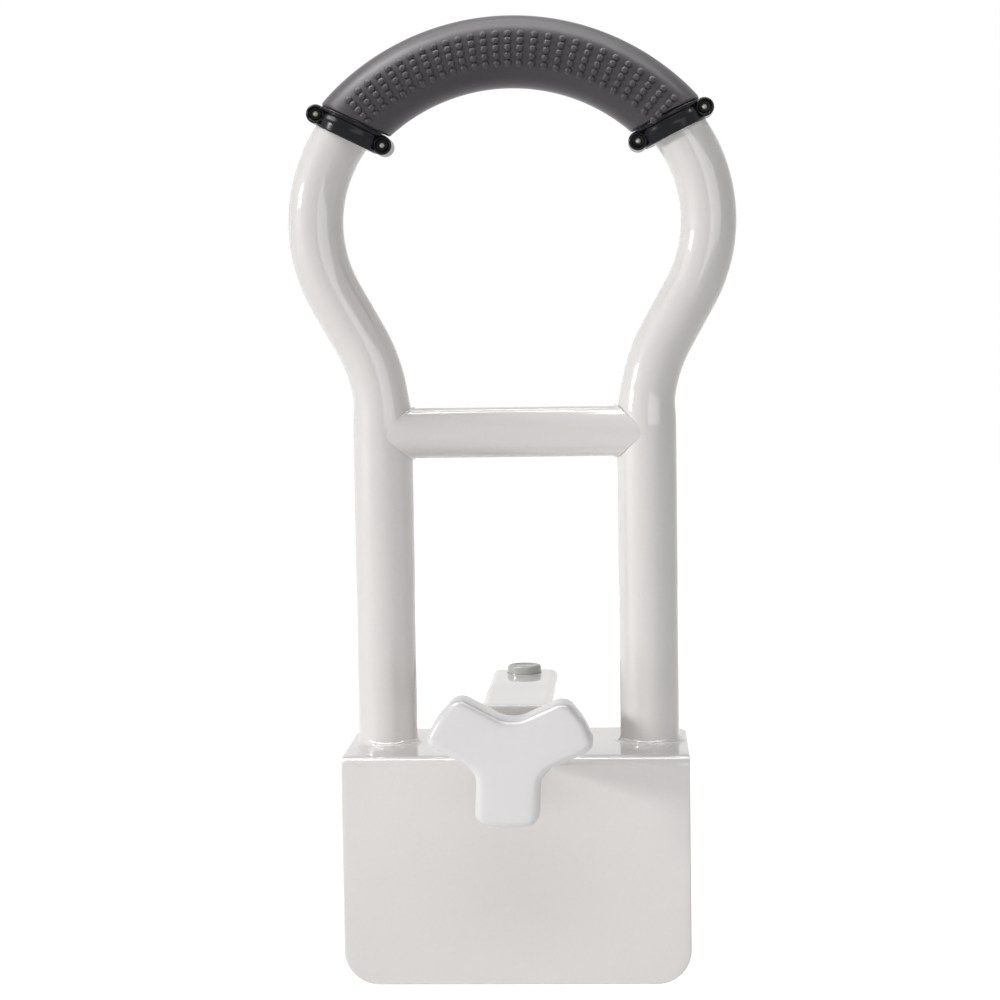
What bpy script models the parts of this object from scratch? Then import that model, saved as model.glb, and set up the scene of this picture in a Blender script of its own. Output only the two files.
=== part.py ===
"""Bath safety rail that clamps over the side of a bath, modelled piece by piece.

The origin is on the bath's rim, at the rim pad's underside, under the middle of the rail. X
runs along the rim, Y over the rim into the bath, and Z up. Sizes along Y are measured from the
front plate's face, so every piece hangs on an empty there, and one that moves hangs on another
empty that stands on its joint's axis.
"""

import math

import bmesh
import bpy
from mathutils import Matrix, Vector

mm = 0.001
GAP = 0.3 * mm  # clearance between pieces that touch, are welded or are pressed together

# Clamp body: one bent sheet, a front plate outside the bath and a deck on the rim
SHEET = 3.0 * mm
PLATE_WIDTH = 160.0 * mm
PLATE_DROP = 106.0 * mm  # from the deck's upper face to the lower edge
DECK_DEPTH = 82.0 * mm
BEND_RADIUS = 5.0 * mm  # outer radius of the fold
PLATE_CORNER = 16.0 * mm
DECK_CORNER = 12.0 * mm
DRAIN_DIAMETER = 20.0 * mm  # hole in the deck under each leg
PAD_THICKNESS = 4.0 * mm
RIM_PAD_THICKNESS = 3.0 * mm
PAD_MARGIN = 10.0 * mm
PAD_CORNER = 8.0 * mm
PAD_TOP_DROP = 14.0 * mm  # from the deck's upper face down to the upright pads

# Rail: one bent tube
TUBE_DIAMETER = 28.0 * mm
TUBE_WALL = 1.8 * mm
TUBE_THINNING = 0.927  # a bend draws the tube in, so it looks this much slimmer from the front
LEG_SPACING = 124.4 * mm
LEG_SETBACK = 45.0 * mm  # from the front face to the plane of the rail
LEG_STRAIGHT = 153.6 * mm  # from the deck up to the first bend
LOWER_BEND_RADIUS = 77.0 * mm
LOWER_BEND = math.radians(29.2)
SLANT_LENGTH = 23.0 * mm
SHOULDER_RADIUS = 70.0 * mm
SHOULDER_END = math.radians(46.8)  # the lean inwards where the shoulder meets the crown
WELD_WIDTH = 3.5 * mm
WELD_HEIGHT = 4.2 * mm

# Crossbar, coped round the legs
CROSSBAR_DIAMETER = 23.6 * mm
CROSSBAR_WALL = 1.5 * mm
CROSSBAR_HEIGHT = 146.8 * mm  # from the deck up to its axis
CROSSBAR_FORWARD = 1.75 * mm

# Grip and its two collars
GRIP_WALL = 3.522 * mm
COLLAR_PLACE = math.radians(39.5)  # where the collar sits round the shoulder
COLLAR_TILT = math.radians(13.3)
COLLAR_INSET = 1.5 * mm
COLLAR_WIDTH = 9.5 * mm
COLLAR_WALL = 3.5 * mm
COLLAR_LIP = 0.8 * mm
COLLAR_LIP_WIDTH = 1.7 * mm
COLLAR_SPLIT = 0.8 * mm
BOSS_DIAMETER = 9.0 * mm
BOSS_LENGTH = 9.0 * mm
COLLAR_SCREW_REACH = 4.222 * mm  # from the tube to the middle of a screw
COLLAR_SCREW = 3.0 * mm
COLLAR_HEAD = 5.5 * mm
COLLAR_HEAD_HEIGHT = 3.0 * mm
COLLAR_RECESS = 6.6 * mm
COLLAR_RECESS_DEPTH = 3.6 * mm
COLLAR_SOCKET = 2.5 * mm
COLLAR_NUT = 5.5 * mm  # across its flats
COLLAR_NUT_THICKNESS = 2.4 * mm

# Slide: a channel that the knob's screw draws across the deck
SLIDE_WIDTH = 34.0 * mm
SLIDE_HEIGHT = 21.5 * mm
SLIDE_SHEET = 2.0 * mm
SLIDE_FRONT = 14.0 * mm
SLIDE_REAR = 132.0 * mm
SLIDE_TOP_CORNER = 4.5 * mm
SLIDE_FOOT_CORNER = 3.0 * mm
SLIDE_LIP = 5.0 * mm  # how far each lip underneath reaches in under the arm
SLIDE_TIGHTENED = 3.0 * mm
SLIDE_SLACKENED = 9.0 * mm

# Screw drive
SPINDLE_DIAMETER = 8.0 * mm
SPINDLE_HEIGHT = 9.6 * mm  # from the deck up to its axis
SPINDLE_END = 34.5 * mm
SPINDLE_START = -44.0 * mm
RING_GROOVE = 1.0 * mm
RING_THICKNESS = 1.2 * mm
RING_DIAMETER = 14.0 * mm
NUT_CLEARANCE = 2.0 * mm  # between the draw nut and each lip of the slide
DRAW_NUT_LENGTH = 8.0 * mm
BUSH_WALL = 1.3 * mm
BUSH_FLANGE = 14.0 * mm
BUSH_FLANGE_THICKNESS = 1.2 * mm
BRACKET_SHEET = 3.0 * mm
BRACKET_FRONT = 3.3 * mm
BRACKET_REAR = 50.0 * mm
BRACKET_CLEARANCE = 0.6 * mm
BRACKET_EAR_HEIGHT = 13.5 * mm
BRACKET_CREST = 16.6 * mm
GUIDE_SCREW = 5.0 * mm
GUIDE_SCREW_HEIGHT = 9.4 * mm
GUIDE_SCREW_PLACES = (26.0 * mm, 42.0 * mm)
GUIDE_HEAD = 9.0 * mm
GUIDE_HEAD_HEIGHT = 2.5 * mm
GUIDE_SOCKET = 4.0 * mm

# Knob with three arms, a little lower than it is wide
KNOB_ARMS = 3
KNOB_REACH = 36.6 * mm
KNOB_ARM_WIDTH = 28.2 * mm
KNOB_FLATTENING = 0.85
KNOB_TURN = math.radians(-92.5)  # direction of its first arm
KNOB_FACE = -56.0 * mm
KNOB_THICKNESS = 22.0 * mm
KNOB_EDGE = 3.8 * mm
KNOB_TIP_RADIUS = 6.0 * mm
KNOB_VALLEY_RADIUS = 13.0 * mm
KNOB_HUB_DIAMETER = 26.0 * mm
KNOB_HUB_END_DIAMETER = 18.0 * mm
INSERT_DIAMETER = 14.0 * mm
INSERT_LENGTH = 24.0 * mm

# Jaw: an arm that slides in the channel and a plate that hangs inside the bath
ARM_HEIGHT = 13.0 * mm
ARM_WALL = 2.0 * mm
ARM_FRONT = 38.5 * mm
ARM_REAR = 131.0 * mm
ARM_CORNER = 2.5 * mm
CAP_FLANGE = 2.5 * mm
CAP_SPIGOT = 4.5 * mm
JAW_SHEET = 3.0 * mm
JAW_FRONT = 86.0 * mm
JAW_WIDTH = 110.0 * mm
NECK_CLEARANCE = 1.0 * mm  # between the jaw's neck and each lip of the slide
JAW_SHOULDER_DROP = 12.0 * mm  # from the deck's upper face to the wide part
JAW_CORNER = 12.0 * mm
GUSSET_SHEET = 4.0 * mm
GUSSET_REACH = 36.0 * mm
GUSSET_DROP = 62.0 * mm
GLIDE_THICKNESS = 1.4 * mm
GLIDE_LENGTH = 66.0 * mm
GLIDE_HEIGHT = 9.0 * mm

# Latch: a sprung button whose collar sits in one of the arm's pockets
LATCH_PLACE = 121.5 * mm
LATCH_PITCH = 9.0 * mm
LATCH_POCKETS = 7
LATCH_NECK = 5.0 * mm
LATCH_COLLAR = 8.0 * mm
LATCH_COLLAR_HEIGHT = 2.2 * mm
BUTTON_DIAMETER = 16.8 * mm
BUTTON_PROUD = 4.0 * mm
BUTTON_SKIRT = 1.2 * mm  # how far its skirt reaches below the slide's upper face
BUTTON_ROOF = 1.4 * mm
BUTTON_WALL = 1.5 * mm
CUP_DIAMETER = 22.0 * mm
CUP_FLOOR = 0.8 * mm
CUP_WALL = 1.8 * mm
CUP_LIFT = 0.6 * mm  # running gap between the arm and the cup
SPRING_DIAMETER = 12.6 * mm
SPRING_WIRE = 0.6 * mm
SPRING_TURNS = 4

# Heights and widths that follow from the sizes above
DECK = RIM_PAD_THICKNESS + GAP + SHEET
FOOT = DECK - PLATE_DROP
SPINDLE_Z = DECK + SPINDLE_HEIGHT
SLIDE_FOOT = DECK + GAP
SLIDE_ROOF = SLIDE_FOOT + SLIDE_HEIGHT
ARM_FOOT = SLIDE_FOOT + SLIDE_SHEET + GAP
ARM_ROOF = ARM_FOOT + ARM_HEIGHT
CUP_FOOT = ARM_ROOF + CUP_LIFT
TUBE_RADIUS = TUBE_DIAMETER / 2
GRIPPED_RADIUS = TUBE_RADIUS * TUBE_THINNING
WELD_RADIUS = TUBE_RADIUS + GAP + WELD_WIDTH
GRIP_DIAMETER = 2 * (GRIPPED_RADIUS + GAP + GRIP_WALL)
COLLAR_SCREW_SPACING = 2 * (GRIPPED_RADIUS + COLLAR_SCREW_REACH)
ARM_WIDTH = SLIDE_WIDTH - 2 * (SLIDE_SHEET + GAP + GLIDE_THICKNESS + GAP)
SLIDE_MOUTH = SLIDE_WIDTH - 2 * (SLIDE_SHEET + SLIDE_LIP)
JAW_NECK = SLIDE_MOUTH - 2 * NECK_CLEARANCE
DRAW_NUT = SLIDE_MOUTH - 2 * NUT_CLEARANCE
ARC_STEP = math.radians(15)
PATH_STEP = math.radians(9)
OVER = 5.0 * mm  # how far a cutter runs past the wall that it cuts

FINISHES = {
    "white paint": ((0.72, 0.70, 0.68), 0.22, 0.0),
    "white plastic": ((0.78, 0.77, 0.77), 0.25, 0.0),
    "grey rubber": ((0.10, 0.10, 0.10), 0.75, 0.0),
    "soft grey": ((0.11, 0.11, 0.115), 0.6, 0.0),
    "black plastic": ((0.015, 0.015, 0.016), 0.2, 0.0),
    "grey plastic": ((0.35, 0.35, 0.33), 0.45, 0.0),
    "black steel": ((0.05, 0.05, 0.05), 0.35, 1.0),
    "zinc": ((0.62, 0.62, 0.60), 0.35, 1.0),
    "brass": ((0.70, 0.50, 0.22), 0.35, 1.0),
    "nylon": ((0.82, 0.80, 0.76), 0.5, 0.0),
}


def clear_scene():
    for obj in list(bpy.data.objects):
        bpy.data.objects.remove(obj)


def add_collection(name):
    collection = bpy.data.collections.new(name)
    bpy.context.scene.collection.children.link(collection)
    return collection


clear_scene()
RAIL = add_collection("bath safety rail")
CUTTERS = add_collection("cutters")
FRONT_FACE = bpy.data.objects.new("front_face", None)
RAIL.objects.link(FRONT_FACE)
FRONT_FACE.location = (0, -LEG_SETBACK, 0)


def facing(axis):
    """Rotation that lays a flat outline, or a turned shape's Z, along a world axis.

    An outline across X is drawn in (y, z), across Y in (x, z), and across Z in (x, y).
    """
    columns = {
        "X": ((0, 1, 0), (0, 0, 1), (1, 0, 0)),
        "Y": ((1, 0, 0), (0, 0, 1), (0, -1, 0)),
        "Z": ((1, 0, 0), (0, 1, 0), (0, 0, 1)),
    }[axis]
    return Matrix(columns).transposed().to_4x4()


def at(x, y, z):
    return Matrix.Translation((x, y, z))


def point_on(axis, first, second, along):
    """World point with the two outline coordinates of an axis and a distance along it."""
    return {
        "X": Vector((along, first, second)),
        "Y": Vector((first, along, second)),
        "Z": Vector((first, second, along)),
    }[axis]


def add_object(name, data, matrix):
    """Puts data in the scene at a matrix measured from the front plate's face."""
    obj = bpy.data.objects.new(name, data)
    RAIL.objects.link(obj)
    obj.parent = FRONT_FACE
    obj.matrix_basis = matrix
    return obj


def smooth(mesh):
    mesh.shade_smooth()
    mesh.set_sharp_from_angle(angle=math.radians(35))


def mesh_from(obj):
    """Turns a curve object into a mesh object with welded caps, in the same place."""
    bpy.context.view_layer.update()
    graph = bpy.context.evaluated_depsgraph_get()
    mesh = bpy.data.meshes.new_from_object(obj.evaluated_get(graph))
    welded = bmesh.new()
    welded.from_mesh(mesh)
    bmesh.ops.remove_doubles(welded, verts=welded.verts, dist=0.001 * mm)
    bmesh.ops.recalc_face_normals(welded, faces=welded.faces)
    welded.to_mesh(mesh)
    welded.free()
    mesh.materials.clear()
    smooth(mesh)
    name, matrix = obj.name, obj.matrix_basis.copy()
    bpy.data.objects.remove(obj)
    return add_object(name, mesh, matrix)


def prism(name, outlines, low, high, axis, matrix=None):
    """Solid between two planes across an axis. Outlines after the first are holes."""
    curve = bpy.data.curves.new(name, "CURVE")
    curve.dimensions = "2D"
    curve.fill_mode = "BOTH"
    curve.extrude = (high - low) / 2
    for outline in outlines:
        spline = curve.splines.new("POLY")
        spline.points.add(len(outline) - 1)
        for point, (x, y) in zip(spline.points, outline):
            point.co = (x, y, 0, 1)
        spline.use_cyclic_u = True
    middle = Matrix.Translation(point_on(axis, 0, 0, (low + high) / 2))
    return mesh_from(add_object(name, curve, (matrix or Matrix()) @ middle @ facing(axis)))


def box(name, low, high, matrix=None):
    low, high = Vector(low), Vector(high)
    size = high - low
    shape = bmesh.new()
    bmesh.ops.create_cube(shape, size=1, matrix=Matrix.Diagonal((*size, 1)))
    mesh = bpy.data.meshes.new(name)
    shape.to_mesh(mesh)
    shape.free()
    return add_object(name, mesh, (matrix or Matrix()) @ Matrix.Translation((low + high) / 2))


def rod(name, radius, low, high, axis, place=(0, 0), sides=32, matrix=None):
    """Cylinder between two planes across an axis, or a prism with few sides."""
    shape = bmesh.new()
    bmesh.ops.create_cone(
        shape, cap_ends=True, segments=sides, radius1=radius, radius2=radius, depth=high - low
    )
    mesh = bpy.data.meshes.new(name)
    shape.to_mesh(mesh)
    shape.free()
    smooth(mesh)
    middle = Matrix.Translation(point_on(axis, *place, (low + high) / 2))
    return add_object(name, mesh, (matrix or Matrix()) @ middle @ facing(axis))


def turned(name, profile, matrix, steps=32, ring=False):
    """Shape turned about its local Z from (radius, height) points, top to bottom outside."""
    edges = [(index, index + 1) for index in range(len(profile) - 1)]
    if ring:
        edges.append((len(profile) - 1, 0))
    mesh = bpy.data.meshes.new(name)
    mesh.from_pydata([(radius, 0, height) for radius, height in profile], edges, [])
    obj = add_object(name, mesh, matrix)
    screw = obj.modifiers.new("turn", "SCREW")
    screw.steps = steps
    screw.render_steps = steps
    screw.use_merge_vertices = True
    screw.merge_threshold = 0.001 * mm
    screw.use_smooth_shade = True
    return obj


def tube(name, path, radius, sides, scales=None):
    """Round bar along a path, slimmer where a scale is below one."""
    curve = bpy.data.curves.new(name, "CURVE")
    curve.dimensions = "3D"
    curve.bevel_depth = radius
    curve.bevel_resolution = (sides - 4) // 2
    curve.use_fill_caps = True
    spline = curve.splines.new("POLY")
    spline.points.add(len(path) - 1)
    for index, (point, place) in enumerate(zip(spline.points, path)):
        point.co = (*place, 1)
        point.radius = scales[index] if scales else 1
    return mesh_from(add_object(name, curve, Matrix()))


def boolean(obj, other, operation):
    """Adds a live Boolean and puts the other shape away among the cutters."""
    modifier = obj.modifiers.new(operation.lower(), "BOOLEAN")
    modifier.operation = operation
    modifier.solver = "EXACT"
    modifier.object = other
    if CUTTERS not in other.users_collection:
        RAIL.objects.unlink(other)
        CUTTERS.objects.link(other)
        other.hide_render = True
        other.display_type = "WIRE"
    return obj


def cut(obj, *others):
    for other in others:
        boolean(obj, other, "DIFFERENCE")
    return obj


def unite(obj, *others):
    for other in others:
        boolean(obj, other, "UNION")
    return obj


def keep(obj, other):
    return boolean(obj, other, "INTERSECT")


def rounded(corners):
    """Outline through the corners (x, y, radius), each one filleted by an arc."""
    points = []
    for index, (x, y, radius) in enumerate(corners):
        corner = Vector((x, y))
        back = (Vector(corners[index - 1][:2]) - corner).normalized()
        ahead = (Vector(corners[(index + 1) % len(corners)][:2]) - corner).normalized()
        if radius == 0:
            points.append(corner)
            continue
        half = back.angle(ahead) / 2
        centre = corner + (back + ahead).normalized() * radius / math.sin(half)
        spoke = corner + back * radius / math.tan(half) - centre
        left = back.y * ahead.x - back.x * ahead.y > 0
        turn = (math.pi - 2 * half) * (1 if left else -1)
        steps = max(2, round(abs(turn) / ARC_STEP))
        for step in range(steps + 1):
            points.append(centre + Matrix.Rotation(turn * step / steps, 2) @ spoke)
    return points


def rectangle(left, right, bottom, top, radius=0):
    return rounded(
        [(left, bottom, radius), (right, bottom, radius), (right, top, radius), (left, top, radius)]
    )


def circle(x, y, radius, steps=32):
    turns = [2 * math.pi * step / steps for step in range(steps)]
    return [(x + radius * math.cos(turn), y + radius * math.sin(turn)) for turn in turns]


def corner_waste(x, y, radius, toward_x, toward_y):
    """Outline of what rounding a corner of a flat sheet takes away."""
    inner_x, inner_y = x - toward_x * radius, y - toward_y * radius
    steps = round(math.pi / 2 / ARC_STEP)
    arc = []
    for step in range(steps + 1):
        turn = step * math.pi / 2 / steps
        arc.append(
            (
                inner_x + toward_x * radius * math.cos(turn),
                inner_y + toward_y * radius * math.sin(turn),
            )
        )
    outer_x, outer_y = x + toward_x * OVER, y + toward_y * OVER
    return [*arc, (inner_x, outer_y), (outer_x, outer_y), (outer_x, inner_y)]


def finish(obj, look):
    """Gives a piece a material of its own with the colour and gloss of its finish."""
    colour, roughness, metallic = FINISHES[look]
    material = bpy.data.materials.new(f"{obj.name} {look}")
    material.use_nodes = True
    shader = material.node_tree.nodes["Principled BSDF"]
    shader.inputs["Base Color"].default_value = (*colour, 1)
    shader.inputs["Roughness"].default_value = roughness
    shader.inputs["Metallic"].default_value = metallic
    material.diffuse_color = (*colour, 1)
    obj.data.materials.append(material)
    return obj


def half_loop():
    """Right half of the rail's centre line as (x, height above the deck), foot to crown.

    A straight leg, a bend outwards, a slant, a shoulder and a crown whose radius makes the
    two halves meet square on the middle.
    """
    leg = LEG_SPACING / 2
    points = [(leg, GAP, False), (leg, LEG_STRAIGHT, False)]
    steps = round(LOWER_BEND / PATH_STEP)
    for step in range(1, steps + 1):
        turn = LOWER_BEND * step / steps
        across = leg + LOWER_BEND_RADIUS * (1 - math.cos(turn))
        points.append((across, LEG_STRAIGHT + LOWER_BEND_RADIUS * math.sin(turn), True))
    centre_x, centre_z = shoulder_centre()
    steps = round((LOWER_BEND + SHOULDER_END) / PATH_STEP)
    for step in range(steps + 1):
        turn = -LOWER_BEND + (LOWER_BEND + SHOULDER_END) * step / steps
        across = centre_x + SHOULDER_RADIUS * math.cos(turn)
        points.append((across, centre_z + SHOULDER_RADIUS * math.sin(turn), True))
    crown_radius = points[-1][0] / math.cos(SHOULDER_END)
    crown_z = points[-1][1] - crown_radius * math.sin(SHOULDER_END)
    steps = round((math.pi / 2 - SHOULDER_END) / PATH_STEP)
    for step in range(1, steps + 1):
        turn = SHOULDER_END + (math.pi / 2 - SHOULDER_END) * step / steps
        across = crown_radius * math.cos(turn)
        points.append((across, crown_z + crown_radius * math.sin(turn), True))
    return points


def shoulder_centre():
    """Centre of the shoulder's arc as (x, height above the deck)."""
    slant_x = LEG_SPACING / 2 + LOWER_BEND_RADIUS * (1 - math.cos(LOWER_BEND))
    slant_z = LEG_STRAIGHT + LOWER_BEND_RADIUS * math.sin(LOWER_BEND)
    end_x = slant_x + SLANT_LENGTH * math.sin(LOWER_BEND)
    end_z = slant_z + SLANT_LENGTH * math.cos(LOWER_BEND)
    return (
        end_x - SHOULDER_RADIUS * math.cos(LOWER_BEND),
        end_z + SHOULDER_RADIUS * math.sin(LOWER_BEND),
    )


def rail_path(above=0.0):
    """Points and slimness along the whole rail, left foot to right foot, above a height."""
    right = [point for point in half_loop() if point[1] >= above]
    left = [(-x, z, bent) for x, z, bent in right]
    whole = left + right[-2::-1]
    path = [(x, LEG_SETBACK, DECK + z) for x, z, bent in whole]
    return path, [TUBE_THINNING if bent else 1 for x, z, bent in whole]


def rail_cutter(name, extra):
    """The rail's outside, grown by a clearance, to cut what fits round it."""
    path, scales = rail_path()
    return tube(name, path, TUBE_RADIUS + extra, 20, scales)


def make_frame_tube():
    path, scales = rail_path()
    frame = tube("frame_tube", path, TUBE_RADIUS, 20, scales)
    bore_path = [Vector(path[0]) - Vector((0, 0, OVER)), *path[1:-1]]
    bore_path.append(Vector(path[-1]) - Vector((0, 0, OVER)))
    bore = tube("frame_bore", bore_path, TUBE_RADIUS - TUBE_WALL, 12, scales)
    return finish(cut(frame, bore), "white paint")


def make_crossbar():
    """Round bar between the legs, hollow, its ends coped to the legs."""
    place = (LEG_SETBACK - CROSSBAR_FORWARD, DECK + CROSSBAR_HEIGHT)
    half = LEG_SPACING / 2
    bar = rod("crossbar", CROSSBAR_DIAMETER / 2, -half, half, "X", place)
    bore_radius = CROSSBAR_DIAMETER / 2 - CROSSBAR_WALL
    bore = rod("crossbar_bore", bore_radius, -half - OVER, half + OVER, "X", place, 24)
    cut(bar, bore)
    for side in (-1, 1):
        cope = rod(
            "crossbar_cope",
            TUBE_RADIUS + GAP,
            DECK + CROSSBAR_HEIGHT - CROSSBAR_DIAMETER,
            DECK + CROSSBAR_HEIGHT + CROSSBAR_DIAMETER,
            "Z",
            (side * half, LEG_SETBACK),
            40,
        )
        cut(bar, cope)
    return finish(bar, "white paint")


def make_base_weld(name, side):
    """Fillet of weld round the foot of a leg."""
    inner = TUBE_RADIUS + GAP
    spread = WELD_RADIUS - inner
    profile = [(inner, WELD_HEIGHT)]
    steps = 4
    for step in range(steps + 1):
        turn = math.pi / 2 * step / steps
        profile.append(
            (
                WELD_RADIUS + 0.1 * mm - spread * math.cos(turn),
                WELD_HEIGHT - 0.1 * mm - (WELD_HEIGHT - 0.9 * mm) * math.sin(turn),
            )
        )
    profile += [(WELD_RADIUS, GAP), (inner, GAP)]
    matrix = at(side * LEG_SPACING / 2, LEG_SETBACK, DECK)
    return finish(turned(name, profile, matrix, 24, True), "white paint")


def make_clamp_body():
    """Bent sheet with rounded corners and a drain hole under each leg."""
    half = PLATE_WIDTH / 2
    inside = DECK - SHEET
    profile = rounded(
        [
            (0, FOOT, 0),
            (SHEET, FOOT, 0),
            (SHEET, inside, BEND_RADIUS - SHEET),
            (DECK_DEPTH, inside, 0),
            (DECK_DEPTH, DECK, 0),
            (0, DECK, BEND_RADIUS),
        ]
    )
    body = prism("clamp_body", [profile], -half, half, "X")
    for side in (-1, 1):
        lower = corner_waste(side * half, FOOT, PLATE_CORNER, side, -1)
        rear = corner_waste(side * half, DECK_DEPTH, DECK_CORNER, side, 1)
        cut(body, prism("plate_corner_waste", [lower], -OVER, SHEET + OVER, "Y"))
        cut(body, prism("deck_corner_waste", [rear], inside - OVER, DECK + OVER, "Z"))
        place = (side * LEG_SPACING / 2, LEG_SETBACK)
        cut(body, rod("drain", DRAIN_DIAMETER / 2, inside - OVER, DECK + OVER, "Z", place))
    return finish(body, "white paint")


def make_pads():
    """Front pad behind the front plate, and rim pad under the deck with its drain holes."""
    half = PLATE_WIDTH / 2 - PAD_MARGIN
    front = SHEET + GAP
    outline = rectangle(-half, half, FOOT + PAD_MARGIN, DECK - PAD_TOP_DROP, PAD_CORNER)
    front_pad = prism("front_pad", [outline], front, front + PAD_THICKNESS, "Y")
    near = front + PAD_THICKNESS + GAP
    far = DECK_DEPTH - PAD_MARGIN
    outline = rectangle(-half, half, near, far, PAD_CORNER)
    rim_pad = prism("rim_pad", [outline], 0, RIM_PAD_THICKNESS, "Z")
    radius = DRAIN_DIAMETER / 2 + 1 * mm
    for side in (-1, 1):
        place = (side * LEG_SPACING / 2, LEG_SETBACK)
        cut(rim_pad, rod("pad_drain", radius, -OVER, RIM_PAD_THICKNESS + OVER, "Z", place))
    return [finish(front_pad, "grey rubber"), finish(rim_pad, "grey rubber")]


def collar_matrix(side):
    """Frame of a collar: local X joins its screws, local Z runs up the tube to the grip."""
    centre_x, centre_z = shoulder_centre()
    radius = SHOULDER_RADIUS - COLLAR_INSET
    across = centre_x + radius * math.cos(COLLAR_PLACE)
    up = DECK + centre_z + radius * math.sin(COLLAR_PLACE)
    turn = Matrix.Rotation(-side * (COLLAR_PLACE - COLLAR_TILT), 4, "Y")
    return at(side * across, LEG_SETBACK, up) @ turn


def make_grip():
    """Soft sleeve round the crown, cut off square to the collars that hold its ends."""
    crown_base = DECK + shoulder_centre()[1]
    path, _ = rail_path(crown_base - DECK)
    sleeve = tube("grip_sleeve", path, GRIP_DIAMETER / 2, 20)
    cut(sleeve, tube("grip_bore", path, GRIPPED_RADIUS + GAP, 20))
    reach = 3 * GRIP_DIAMETER
    for side in (-1, 1):
        waste = box(
            "grip_waste",
            (-reach, -GRIP_DIAMETER, -reach),
            (reach, GRIP_DIAMETER, COLLAR_WIDTH / 2 + GAP),
            collar_matrix(side),
        )
        cut(sleeve, waste)
    return finish(sleeve, "soft grey")


def make_collar(side, word):
    """Two half collars round the tube, drawn together by a screw and nut at each end."""
    matrix = collar_matrix(side)
    half = COLLAR_WIDTH / 2
    outer = GRIPPED_RADIUS + COLLAR_WALL
    lip = outer + COLLAR_LIP
    soft = 0.6 * mm
    profile = [
        (0, half),
        (lip - soft, half),
        (lip, half - soft),
        (lip, half - COLLAR_LIP_WIDTH),
        (outer, half - COLLAR_LIP_WIDTH - soft / 2),
        (outer, soft - half),
        (outer - soft, -half),
        (0, -half),
    ]
    bore = rail_cutter(f"collar_bore_{word}", GAP)
    pieces = []
    for end, depth in (("front", -1), ("rear", 1)):
        collar = turned(f"collar_{word}_{end}", profile, matrix, 28)
        for place in (-1, 1):
            spot = (place * COLLAR_SCREW_SPACING / 2, 0)
            start, stop = sorted((0, depth * BOSS_LENGTH))
            boss = rod("collar_boss", BOSS_DIAMETER / 2, start, stop, "Y", spot, 20, matrix)
            unite(collar, boss)
        low, high = sorted((depth * COLLAR_SPLIT / 2, depth * 2 * outer))
        wide = COLLAR_SCREW_SPACING
        keep(collar, box("collar_half", (-wide, low, -wide), (wide, high, wide), matrix))
        cut(collar, bore)
        for place in (-1, 1):
            cut(collar, collar_hole(end, place, matrix))
        pieces.append(finish(collar, "black plastic"))
    for place, end in ((-1, "inner"), (1, "outer")):
        pieces += make_collar_screw(place * side, f"{word}_{end}", matrix)
    return pieces


def collar_hole(end, place, matrix):
    """Clearance hole for a collar screw, with the head's recess or the nut's pocket."""
    spot = (place * COLLAR_SCREW_SPACING / 2, 0)
    shank = COLLAR_SCREW / 2 + GAP
    hole = rod("collar_hole", shank, -BOSS_LENGTH - OVER, BOSS_LENGTH + OVER, "Y", spot, 12, matrix)
    if end == "front":
        seat = -BOSS_LENGTH + COLLAR_RECESS_DEPTH
        wide = rod("recess", COLLAR_RECESS / 2, -BOSS_LENGTH - OVER, seat, "Y", spot, 20, matrix)
    else:
        pocket = (COLLAR_NUT / 2 + GAP) / math.cos(math.pi / 6)
        seat = BOSS_LENGTH - COLLAR_NUT_THICKNESS - GAP
        wide = rod("nut_pocket", pocket, seat, BOSS_LENGTH + OVER, "Y", spot, 6, matrix)
    return unite(hole, wide)


def make_collar_screw(place, word, matrix):
    """Socket-head screw seated in the front half and its nut in the rear half."""
    spot = (place * COLLAR_SCREW_SPACING / 2, 0)
    seat = -BOSS_LENGTH + COLLAR_RECESS_DEPTH - GAP
    head = seat - COLLAR_HEAD_HEIGHT
    tip = BOSS_LENGTH
    profile = [
        (0, tip),
        (COLLAR_SCREW / 2, tip),
        (COLLAR_SCREW / 2, seat),
        (COLLAR_HEAD / 2, seat),
        (COLLAR_HEAD / 2, head + 0.3 * mm),
        (COLLAR_HEAD / 2 - 0.3 * mm, head),
        (0, head),
    ]
    along_y = Matrix.Translation((spot[0], 0, 0)) @ Matrix.Rotation(-math.pi / 2, 4, "X")
    screw = turned(f"collar_screw_{word}", profile, matrix @ along_y, 16)
    socket = COLLAR_SOCKET / 2 / math.cos(math.pi / 6)
    low, high = head - OVER, head + COLLAR_HEAD_HEIGHT / 2
    cut(screw, rod("collar_socket", socket, low, high, "Y", spot, 6, matrix))
    across = COLLAR_NUT / 2 / math.cos(math.pi / 6)
    low = BOSS_LENGTH - COLLAR_NUT_THICKNESS
    nut = rod(f"collar_nut_{word}", across, low, BOSS_LENGTH, "Y", spot, 6, matrix)
    thread = COLLAR_SCREW / 2 + GAP
    cut(nut, rod("nut_thread", thread, low - OVER, BOSS_LENGTH + OVER, "Y", spot, 12, matrix))
    return [finish(screw, "black steel"), finish(nut, "zinc")]


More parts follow.
